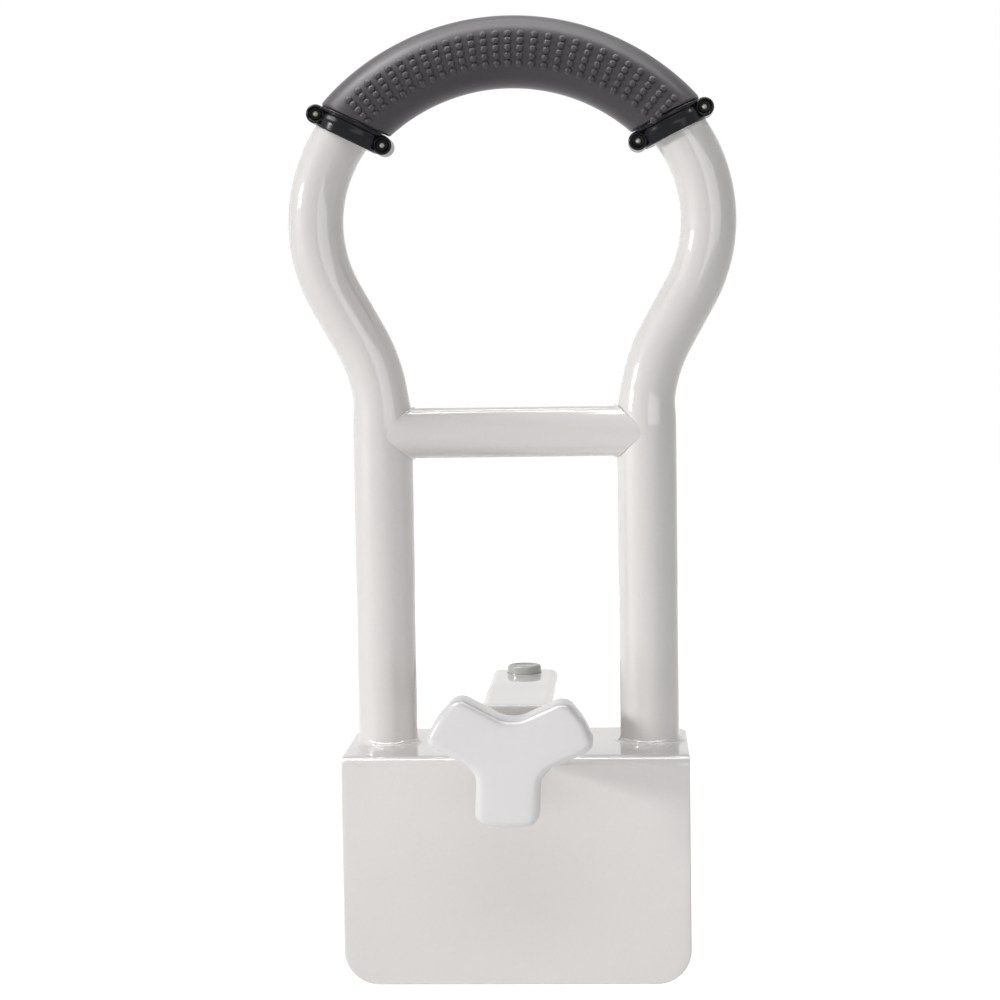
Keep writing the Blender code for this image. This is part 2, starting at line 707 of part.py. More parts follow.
def make_guide_bracket():
    """U of sheet welded to the deck: it holds the spindle and guides the slide between its ears."""
    inner = SLIDE_WIDTH / 2 + BRACKET_CLEARANCE
    outer = inner + BRACKET_SHEET
    back = BRACKET_FRONT + BRACKET_SHEET
    low, crest = DECK + GAP, DECK + BRACKET_CREST
    outline = rounded(
        [
            (-outer, BRACKET_FRONT, BRACKET_SHEET),
            (outer, BRACKET_FRONT, BRACKET_SHEET),
            (outer, BRACKET_REAR, 0),
            (inner, BRACKET_REAR, 0),
            (inner, back, 0.5 * mm),
            (-inner, back, 0.5 * mm),
            (-inner, BRACKET_REAR, 0),
            (-outer, BRACKET_REAR, 0),
        ]
    )
    bracket = prism("guide_bracket", [outline], low, crest, "Z")
    ears = DECK + BRACKET_EAR_HEIGHT
    side_profile = rounded(
        [
            (back + 3 * mm, ears, 2 * mm),
            (BRACKET_REAR + OVER, ears, 0),
            (BRACKET_REAR + OVER, crest + OVER, 0),
            (back + 3 * mm, crest + OVER, 0),
        ]
    )
    cut(bracket, prism("ear_waste", [side_profile], -outer - OVER, outer + OVER, "X"))
    for side in (-1, 1):
        crown = corner_waste(side * outer, crest, 8 * mm, side, 1)
        cut(bracket, prism("crest_waste", [crown], -OVER, BRACKET_REAR + OVER, "Y"))
    hole = SPINDLE_DIAMETER / 2 + GAP + BUSH_WALL + GAP
    cut(bracket, rod("bush_hole", hole, -OVER, back + OVER, "Y", (0, SPINDLE_Z)))
    for place in GUIDE_SCREW_PLACES:
        spot = (place, DECK + GUIDE_SCREW_HEIGHT)
        radius = GUIDE_SCREW / 2 + GAP
        cut(bracket, rod("guide_hole", radius, -outer - OVER, outer + OVER, "X", spot, 18))
    return finish(bracket, "white paint")


def make_guide_screw(side, place, word):
    """Shoulder screw through an ear, whose shank runs in the slide's slot."""
    outer = SLIDE_WIDTH / 2 + BRACKET_CLEARANCE + BRACKET_SHEET + GAP
    tip = SLIDE_WIDTH / 2 - SLIDE_SHEET - 0.8 * mm
    profile = [
        (0, outer + GUIDE_HEAD_HEIGHT),
        (GUIDE_HEAD / 2 - 0.6 * mm, outer + GUIDE_HEAD_HEIGHT),
        (GUIDE_HEAD / 2, outer + GUIDE_HEAD_HEIGHT - 0.6 * mm),
        (GUIDE_HEAD / 2, outer),
        (GUIDE_SCREW / 2, outer),
        (GUIDE_SCREW / 2, tip),
        (0, tip),
    ]
    spot = (place, DECK + GUIDE_SCREW_HEIGHT)
    turn = Matrix.Rotation(side * math.pi / 2, 4, "Y")
    screw = turned(f"guide_screw_{word}", profile, at(0, *spot) @ turn, 18)
    low, high = sorted((side * (outer + GUIDE_HEAD_HEIGHT / 2), side * (outer + OVER)))
    socket = GUIDE_SOCKET / 2 / math.cos(math.pi / 6)
    return finish(cut(screw, rod("guide_socket", socket, low, high, "X", spot, 6)), "zinc")


def make_slide_housing():
    """Lipped channel, closed in front, with guide slots in its sides and the button's hole."""
    half = SLIDE_WIDTH / 2
    wall = SLIDE_SHEET

    def section(inset):
        return rounded(
            [
                (-half + inset, SLIDE_FOOT + inset, SLIDE_FOOT_CORNER - inset),
                (half - inset, SLIDE_FOOT + inset, SLIDE_FOOT_CORNER - inset),
                (half - inset, SLIDE_ROOF - inset, SLIDE_TOP_CORNER - inset),
                (-half + inset, SLIDE_ROOF - inset, SLIDE_TOP_CORNER - inset),
            ]
        )

    housing = prism("slide_housing", [section(0)], SLIDE_FRONT, SLIDE_REAR, "Y")
    inside = SLIDE_FRONT + wall
    cut(housing, prism("slide_hollow", [section(wall)], inside, SLIDE_REAR + OVER, "Y"))
    mouth = rectangle(
        -SLIDE_MOUTH / 2, SLIDE_MOUTH / 2, inside, SLIDE_REAR + OVER, 1 * mm
    )
    low, high = SLIDE_FOOT - OVER, SLIDE_FOOT + wall + 1 * mm
    cut(housing, prism("slide_mouth", [mouth], low, high, "Z"))
    radius = GUIDE_SCREW / 2 + GAP
    for place in GUIDE_SCREW_PLACES:
        slot = rectangle(
            place - SLIDE_SLACKENED - radius,
            place + SLIDE_TIGHTENED + radius,
            DECK + GUIDE_SCREW_HEIGHT - radius,
            DECK + GUIDE_SCREW_HEIGHT + radius,
            radius - 0.01 * mm,
        )
        cut(housing, prism("guide_slot", [slot], -half - OVER, half + OVER, "X"))
    hole = BUTTON_DIAMETER / 2 + GAP
    low, high = SLIDE_ROOF - wall - 1 * mm, SLIDE_ROOF + OVER
    cut(housing, rod("button_hole", hole, low, high, "Z", (0, LATCH_PLACE), 28))
    clear = SPINDLE_DIAMETER / 2 + 2 * GAP
    low, high = SLIDE_FRONT - OVER, inside + OVER
    cut(housing, rod("spindle_hole", clear, low, high, "Y", (0, SPINDLE_Z), 24))
    return finish(housing, "white paint")


def make_draw_nut():
    """Square nut welded inside the slide's front wall."""
    half = DRAW_NUT / 2
    front = SLIDE_FRONT + SLIDE_SHEET + GAP
    outline = rectangle(-half, half, SPINDLE_Z - half, SPINDLE_Z + half, 1 * mm)
    bore = circle(0, SPINDLE_Z, SPINDLE_DIAMETER / 2 + GAP, 24)
    nut = prism("draw_nut", [outline, bore], front, front + DRAW_NUT_LENGTH, "Y")
    return finish(nut, "zinc")


def along_spindle():
    """Frame whose Z runs along the spindle, back into the rail."""
    return at(0, 0, SPINDLE_Z) @ Matrix.Rotation(-math.pi / 2, 4, "X")


def make_spindle():
    """Screw spindle with a groove for its retaining ring and chamfered ends."""
    radius = SPINDLE_DIAMETER / 2
    chamfer = 1 * mm
    groove = BRACKET_FRONT + BRACKET_SHEET + GAP
    profile = [
        (0, SPINDLE_END),
        (radius - chamfer, SPINDLE_END),
        (radius, SPINDLE_END - chamfer),
        (radius, groove + RING_THICKNESS + GAP),
        (radius - RING_GROOVE, groove + RING_THICKNESS + GAP),
        (radius - RING_GROOVE, groove - GAP),
        (radius, groove - GAP),
        (radius, SPINDLE_START),
        (0, SPINDLE_START),
    ]
    return finish(turned("spindle", profile, along_spindle(), 20), "zinc")


def make_retaining_ring():
    """Open ring sprung into the spindle's groove behind the bracket."""
    groove = BRACKET_FRONT + BRACKET_SHEET + GAP
    inner = SPINDLE_DIAMETER / 2 - RING_GROOVE + GAP
    mouth = math.radians(50)
    outline = []
    steps = 20
    for radius, order in ((RING_DIAMETER / 2, 1), (inner, -1)):
        for step in range(steps + 1)[::order]:
            turn = mouth - math.pi / 2 + (2 * math.pi - 2 * mouth) * step / steps
            outline.append((radius * math.cos(turn), SPINDLE_Z + radius * math.sin(turn)))
    ring = prism("retaining_ring", [outline], groove, groove + RING_THICKNESS, "Y")
    return finish(ring, "black steel")


def make_spindle_bush():
    """Flanged bush in the bracket, which takes the knob's thrust."""
    inner = SPINDLE_DIAMETER / 2 + GAP
    outer = inner + BUSH_WALL
    rear = BRACKET_FRONT + BRACKET_SHEET
    step = BRACKET_FRONT - GAP
    front = step - BUSH_FLANGE_THICKNESS
    profile = [
        (inner, rear),
        (outer, rear),
        (outer, step),
        (BUSH_FLANGE / 2, step),
        (BUSH_FLANGE / 2, front),
        (inner, front),
    ]
    return finish(turned("spindle_bush", profile, along_spindle(), 20, True), "brass")


def knob_outline(inset):
    """Straight-sided arms with rounded tips and valleys, drawn about the origin."""
    corners = []
    half = KNOB_ARM_WIDTH / 2 - inset
    tip = max(KNOB_TIP_RADIUS - inset, 0.5 * mm)
    for arm in range(KNOB_ARMS):
        turn = KNOB_TURN + 2 * math.pi * arm / KNOB_ARMS
        along = Vector((math.cos(turn), math.sin(turn)))
        left = Vector((-along.y, along.x))
        for side in (-1, 1):
            corner = along * (KNOB_REACH - inset) + left * half * side
            corners.append((corner.x, corner.y, tip))
        between = turn + math.pi / KNOB_ARMS
        valley = Vector((math.cos(between), math.sin(between))) * half / math.sin(math.pi / KNOB_ARMS)
        corners.append((valley.x, valley.y, KNOB_VALLEY_RADIUS + inset))
    return [(point[0], point[1] * KNOB_FLATTENING) for point in rounded(corners)]


def make_knob():
    """Moulded knob with rounded edges, a tapering hub behind it and a blind bore."""
    rear = KNOB_FACE + KNOB_THICKNESS
    edge = KNOB_EDGE
    outline = knob_outline(edge)
    curve = bpy.data.curves.new("knob", "CURVE")
    curve.dimensions = "2D"
    curve.fill_mode = "BOTH"
    curve.extrude = KNOB_THICKNESS / 2 - edge
    curve.bevel_depth = edge
    curve.bevel_resolution = 2
    spline = curve.splines.new("POLY")
    spline.points.add(len(outline) - 1)
    for point, (x, y) in zip(spline.points, outline):
        point.co = (x, y, 0, 1)
    spline.use_cyclic_u = True
    middle = at(0, (KNOB_FACE + rear) / 2, SPINDLE_Z)
    knob = mesh_from(add_object("knob", curve, middle @ facing("Y")))
    end = BRACKET_FRONT - GAP - BUSH_FLANGE_THICKNESS - GAP
    step_back = -4 * mm
    start = rear - edge
    hub = [
        (0, end),
        (KNOB_HUB_END_DIAMETER / 2, end),
        (KNOB_HUB_END_DIAMETER / 2, step_back),
        (KNOB_HUB_DIAMETER / 2, (rear + step_back) / 2),
        (KNOB_HUB_DIAMETER / 2, start),
        (0, start),
    ]
    unite(knob, turned("knob_hub", hub, along_spindle(), 28))
    clear = SPINDLE_DIAMETER / 2 + GAP
    wide = INSERT_DIAMETER / 2 + GAP
    bottom = SPINDLE_START - GAP
    insert_end = SPINDLE_START + INSERT_LENGTH + GAP
    bore = [
        (0, end + OVER),
        (clear, end + OVER),
        (clear, insert_end),
        (wide, insert_end),
        (wide, bottom),
        (0, bottom),
    ]
    cut(knob, turned("knob_bore", bore, along_spindle(), 20))
    return finish(knob, "white plastic")


def make_knob_insert():
    """Hexagonal insert that locks the spindle into the knob."""
    radius = INSERT_DIAMETER / 2
    low, high = SPINDLE_START, SPINDLE_START + INSERT_LENGTH
    insert = rod("knob_insert", radius, low, high, "Y", (0, SPINDLE_Z), 6)
    bore = SPINDLE_DIAMETER / 2 + GAP
    cut(insert, rod("insert_bore", bore, low - OVER, high + OVER, "Y", (0, SPINDLE_Z), 24))
    return finish(insert, "brass")


def latch_outline():
    """Slot with a round pocket at each setting, like beads on a string."""
    radius = LATCH_COLLAR / 2 + GAP
    half = LATCH_NECK / 2 + GAP
    mouth = math.asin(half / radius)
    steps = 7
    right = []
    for pocket in range(LATCH_POCKETS):
        centre = LATCH_PLACE - pocket * LATCH_PITCH
        start = -math.pi / 2 if pocket == LATCH_POCKETS - 1 else mouth - math.pi / 2
        stop = math.pi / 2 if pocket == 0 else math.pi / 2 - mouth
        for step in range(steps + 1):
            turn = stop + (start - stop) * step / steps
            right.append((radius * math.cos(turn), centre + radius * math.sin(turn)))
    left = [(-x, y) for x, y in right[::-1]]
    return right + left[1:-1]


def make_jaw_arm():
    """Rectangular tube with the row of latch pockets in its upper wall."""
    half = ARM_WIDTH / 2
    outer = rectangle(-half, half, ARM_FOOT, ARM_ROOF, ARM_CORNER)
    inner = rectangle(
        ARM_WALL - half, half - ARM_WALL, ARM_FOOT + ARM_WALL, ARM_ROOF - ARM_WALL, 1 * mm
    )
    arm = prism("jaw_arm", [outer, inner], ARM_FRONT, ARM_REAR, "Y")
    low, high = ARM_ROOF - ARM_WALL - 1 * mm, ARM_ROOF + OVER
    cut(arm, prism("latch_row", [latch_outline()], low, high, "Z"))
    return finish(arm, "zinc")


def make_arm_end_cap():
    """Plug that closes the arm's rear end."""
    half = ARM_WIDTH / 2
    face = rectangle(-half, half, ARM_FOOT, ARM_ROOF, ARM_CORNER)
    start = ARM_REAR + GAP
    cap = prism("arm_end_cap", [face], start, start + CAP_FLANGE, "Y")
    inset = ARM_WALL + GAP
    plug = rectangle(inset - half, half - inset, ARM_FOOT + inset, ARM_ROOF - inset, 1 * mm)
    unite(cap, prism("cap_spigot", [plug], ARM_REAR - CAP_SPIGOT, start + 1 * mm, "Y"))
    return finish(cap, "black plastic")


def make_arm_glide(side, word):
    """Strip inside the channel's wall that the arm slides along."""
    outer = SLIDE_WIDTH / 2 - SLIDE_SHEET - GAP
    low, high = sorted((side * outer, side * (outer - GLIDE_THICKNESS)))
    middle = ARM_FOOT + ARM_HEIGHT / 2
    rear = SLIDE_REAR - 3 * mm
    outline = rectangle(
        rear - GLIDE_LENGTH, rear, middle - GLIDE_HEIGHT / 2, middle + GLIDE_HEIGHT / 2, 2 * mm
    )
    return finish(prism(f"arm_glide_{word}", [outline], low, high, "X"), "nylon")


def make_rear_jaw():
    """T-shaped plate whose neck comes up between the channel's lips to the arm."""
    half, neck = JAW_WIDTH / 2, JAW_NECK / 2
    shoulder = DECK - JAW_SHOULDER_DROP
    top = ARM_FOOT - GAP
    outline = rounded(
        [
            (-half, FOOT, JAW_CORNER),
            (half, FOOT, JAW_CORNER),
            (half, shoulder, JAW_CORNER * 0.6),
            (neck, shoulder, 5 * mm),
            (neck, top, 0),
            (-neck, top, 0),
            (-neck, shoulder, 5 * mm),
            (-half, shoulder, JAW_CORNER * 0.6),
        ]
    )
    jaw = prism("rear_jaw", [outline], JAW_FRONT, JAW_FRONT + JAW_SHEET, "Y")
    return finish(jaw, "white paint")


def make_jaw_gusset():
    """Triangular rib between the arm and the back of the jaw."""
    start = JAW_FRONT + JAW_SHEET + GAP
    top = ARM_FOOT - GAP
    bottom = top - GUSSET_DROP
    outline = rounded(
        [
            (start, bottom, 0),
            (start + 5 * mm, bottom, 3 * mm),
            (start + GUSSET_REACH, top - 5 * mm, 3 * mm),
            (start + GUSSET_REACH, top, 0),
            (start, top, 0),
        ]
    )
    half = GUSSET_SHEET / 2
    return finish(prism("jaw_gusset", [outline], -half, half, "X"), "white paint")


def make_rear_pad():
    half = JAW_WIDTH / 2 - PAD_MARGIN / 2
    top = DECK - JAW_SHOULDER_DROP - PAD_MARGIN / 2
    outline = rectangle(-half, half, FOOT + PAD_MARGIN, top, PAD_CORNER)
    rear = JAW_FRONT - GAP
    return finish(prism("rear_pad", [outline], rear - PAD_THICKNESS, rear, "Y"), "grey rubber")


def make_release_button():
    """Cap that stands proud of the slide, hollow underneath for its spring."""
    radius = BUTTON_DIAMETER / 2
    top = SLIDE_ROOF + BUTTON_PROUD
    bottom = SLIDE_ROOF - BUTTON_SKIRT
    roof = top - BUTTON_ROOF
    inner = radius - BUTTON_WALL
    edge = 0.8 * mm
    neck = LATCH_NECK / 2 + GAP
    profile = [
        (0, top),
        (radius - edge, top),
        (radius - edge * 0.3, top - edge * 0.3),
        (radius, top - edge),
        (radius, bottom),
        (inner, bottom),
        (inner, roof),
        (neck + 1.2 * mm, roof),
        (neck + 1.2 * mm, roof - 1.5 * mm),
        (neck, roof - 1.5 * mm),
        (neck, roof),
        (0, roof),
    ]
    button = turned("release_button", profile, at(0, LATCH_PLACE, 0), 28)
    return finish(button, "grey plastic")


def make_latch_pin():
    """Pin under the button whose collar locks in a pocket of the arm."""
    roof = SLIDE_ROOF + BUTTON_PROUD - BUTTON_ROOF
    top = CUP_FOOT - GAP
    bottom = top - LATCH_COLLAR_HEIGHT
    collar, neck = LATCH_COLLAR / 2, LATCH_NECK / 2
    profile = [
        (0, roof - GAP),
        (neck, roof - GAP),
        (neck, top),
        (collar, top),
        (collar, bottom + 0.4 * mm),
        (collar - 0.4 * mm, bottom),
        (0, bottom),
    ]
    return finish(turned("latch_pin", profile, at(0, LATCH_PLACE, 0), 20), "zinc")


def make_button_cup():
    """Cup under the slide's roof that seats the spring and stops the pin's collar."""
    outer = CUP_DIAMETER / 2
    inner = outer - CUP_WALL
    corner = SLIDE_TOP_CORNER - SLIDE_SHEET
    under = max(outer + GAP - (SLIDE_WIDTH / 2 - SLIDE_TOP_CORNER), 0)  # reach under the roof's rounding
    top = SLIDE_ROOF - SLIDE_SHEET - GAP - corner + math.sqrt(corner**2 - under**2)
    floor = CUP_FOOT + CUP_FLOOR
    hole = LATCH_NECK / 2 + GAP
    profile = [
        (outer, top),
        (outer, CUP_FOOT),
        (hole, CUP_FOOT),
        (hole, floor),
        (inner, floor),
        (inner, top),
    ]
    cup = turned("button_cup", profile, at(0, LATCH_PLACE, 0), 24, True)
    return finish(cup, "nylon")


def make_button_spring():
    """Coil between the cup's floor and the button's roof."""
    low = CUP_FOOT + CUP_FLOOR + GAP + SPRING_WIRE / 2
    high = SLIDE_ROOF + BUTTON_PROUD - BUTTON_ROOF - GAP - SPRING_WIRE / 2
    radius = (SPRING_DIAMETER - SPRING_WIRE) / 2
    steps = 10 * SPRING_TURNS
    path = []
    for step in range(steps + 1):
        turn = 2 * math.pi * step / 10
        height = low + (high - low) * step / steps
        path.append((radius * math.cos(turn), LATCH_PLACE + radius * math.sin(turn), height))
    return finish(tube("button_spring", path, SPRING_WIRE / 2, 6), "zinc")


def add_joint_frame(name, place):
    empty = add_object(name, None, at(*place))
    empty.empty_display_size = 15 * mm
    return empty


def hang(empty, pieces):
    """Parents pieces to the empty on their joint's axis without moving them."""
    for piece in pieces:
        piece.parent = empty
        piece.matrix_parent_inverse = Matrix.Translation(empty.location).inverted()


def build():
    make_clamp_body()
    make_frame_tube()
    make_crossbar()
    make_base_weld("base_weld_left", -1)
    make_base_weld("base_weld_right", 1)
    make_pads()
    make_grip()
    for side, word in ((-1, "left"), (1, "right")):
        make_collar(side, word)
        for place, end in zip(GUIDE_SCREW_PLACES, ("front", "rear")):
            make_guide_screw(side, place, f"{word}_{end}")
    make_guide_bracket()
    make_spindle_bush()
    knob_axis = add_joint_frame("knob_axis", (0, 0, SPINDLE_Z))
    hang(knob_axis, [make_knob(), make_knob_insert(), make_spindle(), make_retaining_ring()])
    slide_axis = add_joint_frame("slide_axis", (0, SLIDE_FRONT, SLIDE_FOOT))
    glides = [make_arm_glide(-1, "left"), make_arm_glide(1, "right")]
    hang(slide_axis, [make_slide_housing(), make_draw_nut(), make_button_cup(), *glides])
    jaw_axis = add_joint_frame("jaw_axis", (0, ARM_FRONT, ARM_FOOT))
    arm = [make_jaw_arm(), make_arm_end_cap()]
    hang(jaw_axis, [*arm, make_rear_jaw(), make_jaw_gusset(), make_rear_pad()])
    button_axis = add_joint_frame("button_axis", (0, LATCH_PLACE, SLIDE_ROOF))
    hang(button_axis, [make_release_button(), make_latch_pin(), make_button_spring()])


build()
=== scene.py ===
import math

import bmesh
import bpy
import numpy as np
from mathutils import Matrix, Vector


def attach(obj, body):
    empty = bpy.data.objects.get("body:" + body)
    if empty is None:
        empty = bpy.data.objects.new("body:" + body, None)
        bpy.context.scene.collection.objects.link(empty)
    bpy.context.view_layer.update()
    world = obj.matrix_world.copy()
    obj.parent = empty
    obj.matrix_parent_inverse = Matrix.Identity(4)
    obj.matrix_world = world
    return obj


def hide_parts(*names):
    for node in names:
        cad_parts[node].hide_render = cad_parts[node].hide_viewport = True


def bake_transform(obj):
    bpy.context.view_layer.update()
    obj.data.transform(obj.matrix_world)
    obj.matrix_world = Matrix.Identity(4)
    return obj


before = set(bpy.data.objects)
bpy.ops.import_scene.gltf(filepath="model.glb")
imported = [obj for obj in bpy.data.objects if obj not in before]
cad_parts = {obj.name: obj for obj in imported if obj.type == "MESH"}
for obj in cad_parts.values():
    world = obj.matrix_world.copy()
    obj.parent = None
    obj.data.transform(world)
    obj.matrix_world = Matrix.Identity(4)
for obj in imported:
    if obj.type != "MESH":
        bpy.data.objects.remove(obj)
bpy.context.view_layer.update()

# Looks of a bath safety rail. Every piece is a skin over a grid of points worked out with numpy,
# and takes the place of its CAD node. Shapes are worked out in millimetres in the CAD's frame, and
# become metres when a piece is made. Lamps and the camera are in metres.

mm = 0.001
GAP = 0.3
FACE = -45  # the front plate's face
DECK = 6.3  # the deck's upper face
FOOT = DECK - 106
SPINDLE_Z = DECK + 9.6
GUIDE_Z = DECK + 9.4
GUIDE_PLACES = (26, 42)
HALF_SPACING = 62.2
TUBE_RADIUS = 14
BENT_RADIUS = TUBE_RADIUS * 0.927
GRIP_RADIUS = 16.8
LEG_STRAIGHT, BEND_RADIUS, SLANT, SHOULDER_RADIUS = 153.6, 77, 23, 70
BEND, CROWN_END, COLLAR_TURN = math.radians(29.2), math.radians(46.8), math.radians(39.5)
SCREW_REACH = 17.2
SLIDE_FOOT = DECK + GAP
SLIDE_ROOF = SLIDE_FOOT + 21.5
ARM_FOOT = SLIDE_FOOT + 2.3
ARM_ROOF = ARM_FOOT + 13
CUP_FOOT = ARM_ROOF + 0.6
LATCH_Y = FACE + 121.5
BUTTON_TOP, BUTTON_WALL = SLIDE_ROOF + 4, 1.4
SPRING_LOW, SPRING_HIGH = CUP_FOOT + 1.4, SLIDE_ROOF + 2
SHARP = 32  # edges that turn by more than this many degrees are shaded sharp
RAIL_MIDDLE = 0.13  # the level that the lamps hang round, in metres


# ---- shapes as arrays

def unit(vectors):
    return vectors / np.maximum(np.linalg.norm(vectors, axis=-1, keepdims=True), 1e-12)


def full_turn(columns):
    return np.linspace(0, 2 * math.pi, columns, endpoint=False)


def quarter_turn(count):
    return np.linspace(0, math.pi / 2, count)


def polar(radius, angle):
    return np.stack([radius * np.cos(angle), radius * np.sin(angle)], -1)


def grid(x, y, z):
    """Points from coordinates that are spread over each other's rows and columns."""
    return np.stack(np.broadcast_arrays(x, y, z), -1)


def skin(rings, around=True, loop=False, lids=False):
    """Faces over a grid of points (row, column, xyz), as (points, faces).

    A row closes on itself when around is set, the last row joins the first when loop is set,
    and lids are single flat faces on the first and last row.
    """
    rows, columns = rings.shape[:2]
    row = np.arange(rows if loop else rows - 1)[:, None] * columns
    column = np.arange(columns if around else columns - 1)[None]
    below, beside = (row + columns) % (rows * columns), (column + 1) % columns
    quads = np.stack([row + column, row + beside, below + beside, below + column], -1)
    faces = quads.reshape(-1, 4).tolist()
    if lids:
        faces.append(list(range(columns)))
        faces.append(list(range((rows - 1) * columns, rows * columns)))
    return rings.reshape(-1, 3), faces


def placed(shell, matrix):
    points, faces = shell
    matrix = np.array(matrix)
    return points @ matrix[:3, :3].T + matrix[:3, 3], faces


def rounded(corners, steps=10):
    """Outline through corners (x, y, radius), each an arc that touches both its sides.

    The arc's centre is radius / sin(half the angle) along the corner's middle line.
    """
    corners = np.asarray(corners, float)
    place, radius = corners[:, :2], corners[:, 2:]
    back, ahead = unit(np.roll(place, 1, 0) - place), unit(np.roll(place, -1, 0) - place)
    half = np.arccos(np.clip((back * ahead).sum(1, keepdims=True), -1, 1)) / 2
    sine = np.maximum(np.sin(half), 1e-6)
    centre = place + unit(back + ahead) * radius / sine
    spoke = place + back * radius / np.maximum(np.tan(half), 1e-6) - centre
    left = back[:, 1:] * ahead[:, :1] - back[:, :1] * ahead[:, 1:] > 0
    turn = (math.pi - 2 * half) * np.where(left, 1, -1) * np.linspace(0, 1, steps + 1)
    cosine, sine = np.cos(turn)[..., None], np.sin(turn)[..., None]
    across = spoke[:, None] * cosine + np.stack([-spoke[:, 1], spoke[:, 0]], 1)[:, None] * sine
    return (centre[:, None] + across).reshape(-1, 2)


def rectangle(left, right, low, high, radius, steps=10, top=None):
    """Rectangle with rounded corners, the upper two to another radius where top is given."""
    top = radius if top is None else top
    return rounded([(left, low, radius), (right, low, radius), (right, high, top), (left, high, top)], steps)


def inset(outline, depth):
    """The outline moved in by a depth, square to its sides."""
    ahead = unit(np.roll(outline, -1, 0) - outline)
    outward = np.stack([ahead[:, 1], -ahead[:, 0]], 1)
    both = unit(outward + np.roll(outward, 1, 0))
    stretch = np.maximum((both * outward).sum(1, keepdims=True), 0.5)
    return outline - both * depth / stretch


def rim(thickness, edge, steps=4):
    """(inset, height) pairs up the side of a plate whose two edges are quarter circles."""
    turn = quarter_turn(steps + 1)
    curve = np.stack([edge * (1 - np.sin(turn)), edge * (1 - np.cos(turn))], 1)
    return np.concatenate([curve, np.stack([curve[::-1, 0], thickness - curve[::-1, 1]], 1)])


def on_axis(axis, first, second, along):
    order = {"X": (along, first, second), "Y": (first, along, second), "Z": (first, second, along)}
    return grid(*order[axis])


def slab(outline, low, high, axis, edge=0.4, steps=4):
    """Plate between two planes: its outline carried up a rim with rounded edges."""
    levels = rim(high - low, edge, steps)
    rows = [on_axis(axis, *inset(outline, depth).T, low + height) for depth, height in levels]
    return skin(np.array(rows), lids=True)


def block(low, high, matrix):
    """Plain box between two corners of a frame."""
    (left, front, foot), (right, back, top) = low, high
    ring = np.array([[left, front], [right, front], [right, back], [left, back]])
    return placed(skin(np.array([grid(*ring.T, height) for height in (foot, top)]), lids=True), matrix)


def turned(profile, matrix, columns, fillet_steps, loop=False):
    """Profile of (radius, height, fillet) or (radius, height, fillet, flats) turned about Z.

    With flats 1 the radius becomes that of a hexagon with the radius as its apothem.
    """
    profile = np.asarray(profile, float)
    points = rounded(profile[:, :3], fillet_steps)
    flats = np.repeat(profile[:, 3] if profile.shape[1] > 3 else np.zeros(len(profile)), fillet_steps + 1)
    angle = full_turn(columns)
    hexagon = 1 / np.cos((angle + math.pi / 6) % (math.pi / 3) - math.pi / 6)
    radius = points[:, :1] * (1 + flats[:, None] * (hexagon - 1))
    rings = grid(radius * np.cos(angle), radius * np.sin(angle), points[:, 1:])
    return placed(skin(rings, loop=loop), matrix)


def rod(radius, low, high, matrix, columns=64):
    """Plain cylinder about Z, which cuts a hole."""
    return turned([(0, low, 0), (radius, low, 0), (radius, high, 0), (0, high, 0)], matrix, columns, 1)


def swept(path, outward, radius, columns):
    """Round bar along a path: circles square to it, started from its outward direction."""
    ahead = unit(np.gradient(path, axis=0))
    outward = unit(outward - ahead * (outward * ahead).sum(1, keepdims=True))
    beside = np.cross(ahead, outward)
    angle = full_turn(columns)[None, :, None]
    rings = path[:, None] + radius * (outward[:, None] * np.cos(angle) + beside[:, None] * np.sin(angle))
    return skin(rings, lids=True)


# ---- pieces

def clean(mesh, sharp):
    """Merges doubles, turns every face outwards and smooths up to an angle."""
    work = bmesh.new()
    work.from_mesh(mesh)
    bmesh.ops.remove_doubles(work, verts=work.verts, dist=0.0005 * mm)
    bmesh.ops.dissolve_degenerate(work, edges=work.edges, dist=0.0002 * mm)
    bmesh.ops.recalc_face_normals(work, faces=work.faces)
    work.to_mesh(mesh)
    work.free()
    mesh.shade_smooth()
    mesh.set_sharp_from_angle(angle=math.radians(sharp))


def add_object(name, data):
    obj = bpy.data.objects.new(name, data)
    bpy.context.scene.collection.objects.link(obj)
    return obj


def piece(*shells, sharp=SHARP):
    """Object from one or more closed skins, which are in millimetres."""
    points, faces, start = [], [], 0
    for shell_points, shell_faces in shells:
        points.append(shell_points)
        faces += [[index + start for index in face] for face in shell_faces]
        start += len(shell_points)
    mesh = bpy.data.meshes.new("piece")
    mesh.from_pydata((np.concatenate(points) * mm).tolist(), [], faces)
    clean(mesh, sharp)
    return add_object("piece", mesh)


def settle(obj):
    """Makes a piece's modifiers part of its mesh."""
    graph = bpy.context.evaluated_depsgraph_get()
    mesh = bpy.data.meshes.new_from_object(obj.evaluated_get(graph))
    obj.modifiers.clear()
    old, obj.data = obj.data, mesh
    bpy.data.meshes.remove(old)
    return obj


def combine(obj, *steps):
    """Joins shapes to a piece, cuts them out of it or keeps what they share, step by step."""
    tools = []
    for operation, shell in steps:
        tool = piece(shell)
        tools.append(tool)
        modifier = obj.modifiers.new("combine", "BOOLEAN")
        modifier.operation, modifier.solver, modifier.object = operation, "EXACT", tool
    bpy.context.view_layer.update()
    clean(settle(obj).data, SHARP)
    for tool in tools:
        bpy.data.meshes.remove(tool.data)
    return obj


def carve(obj, *shells):
    return combine(obj, *[("DIFFERENCE", shell) for shell in shells])


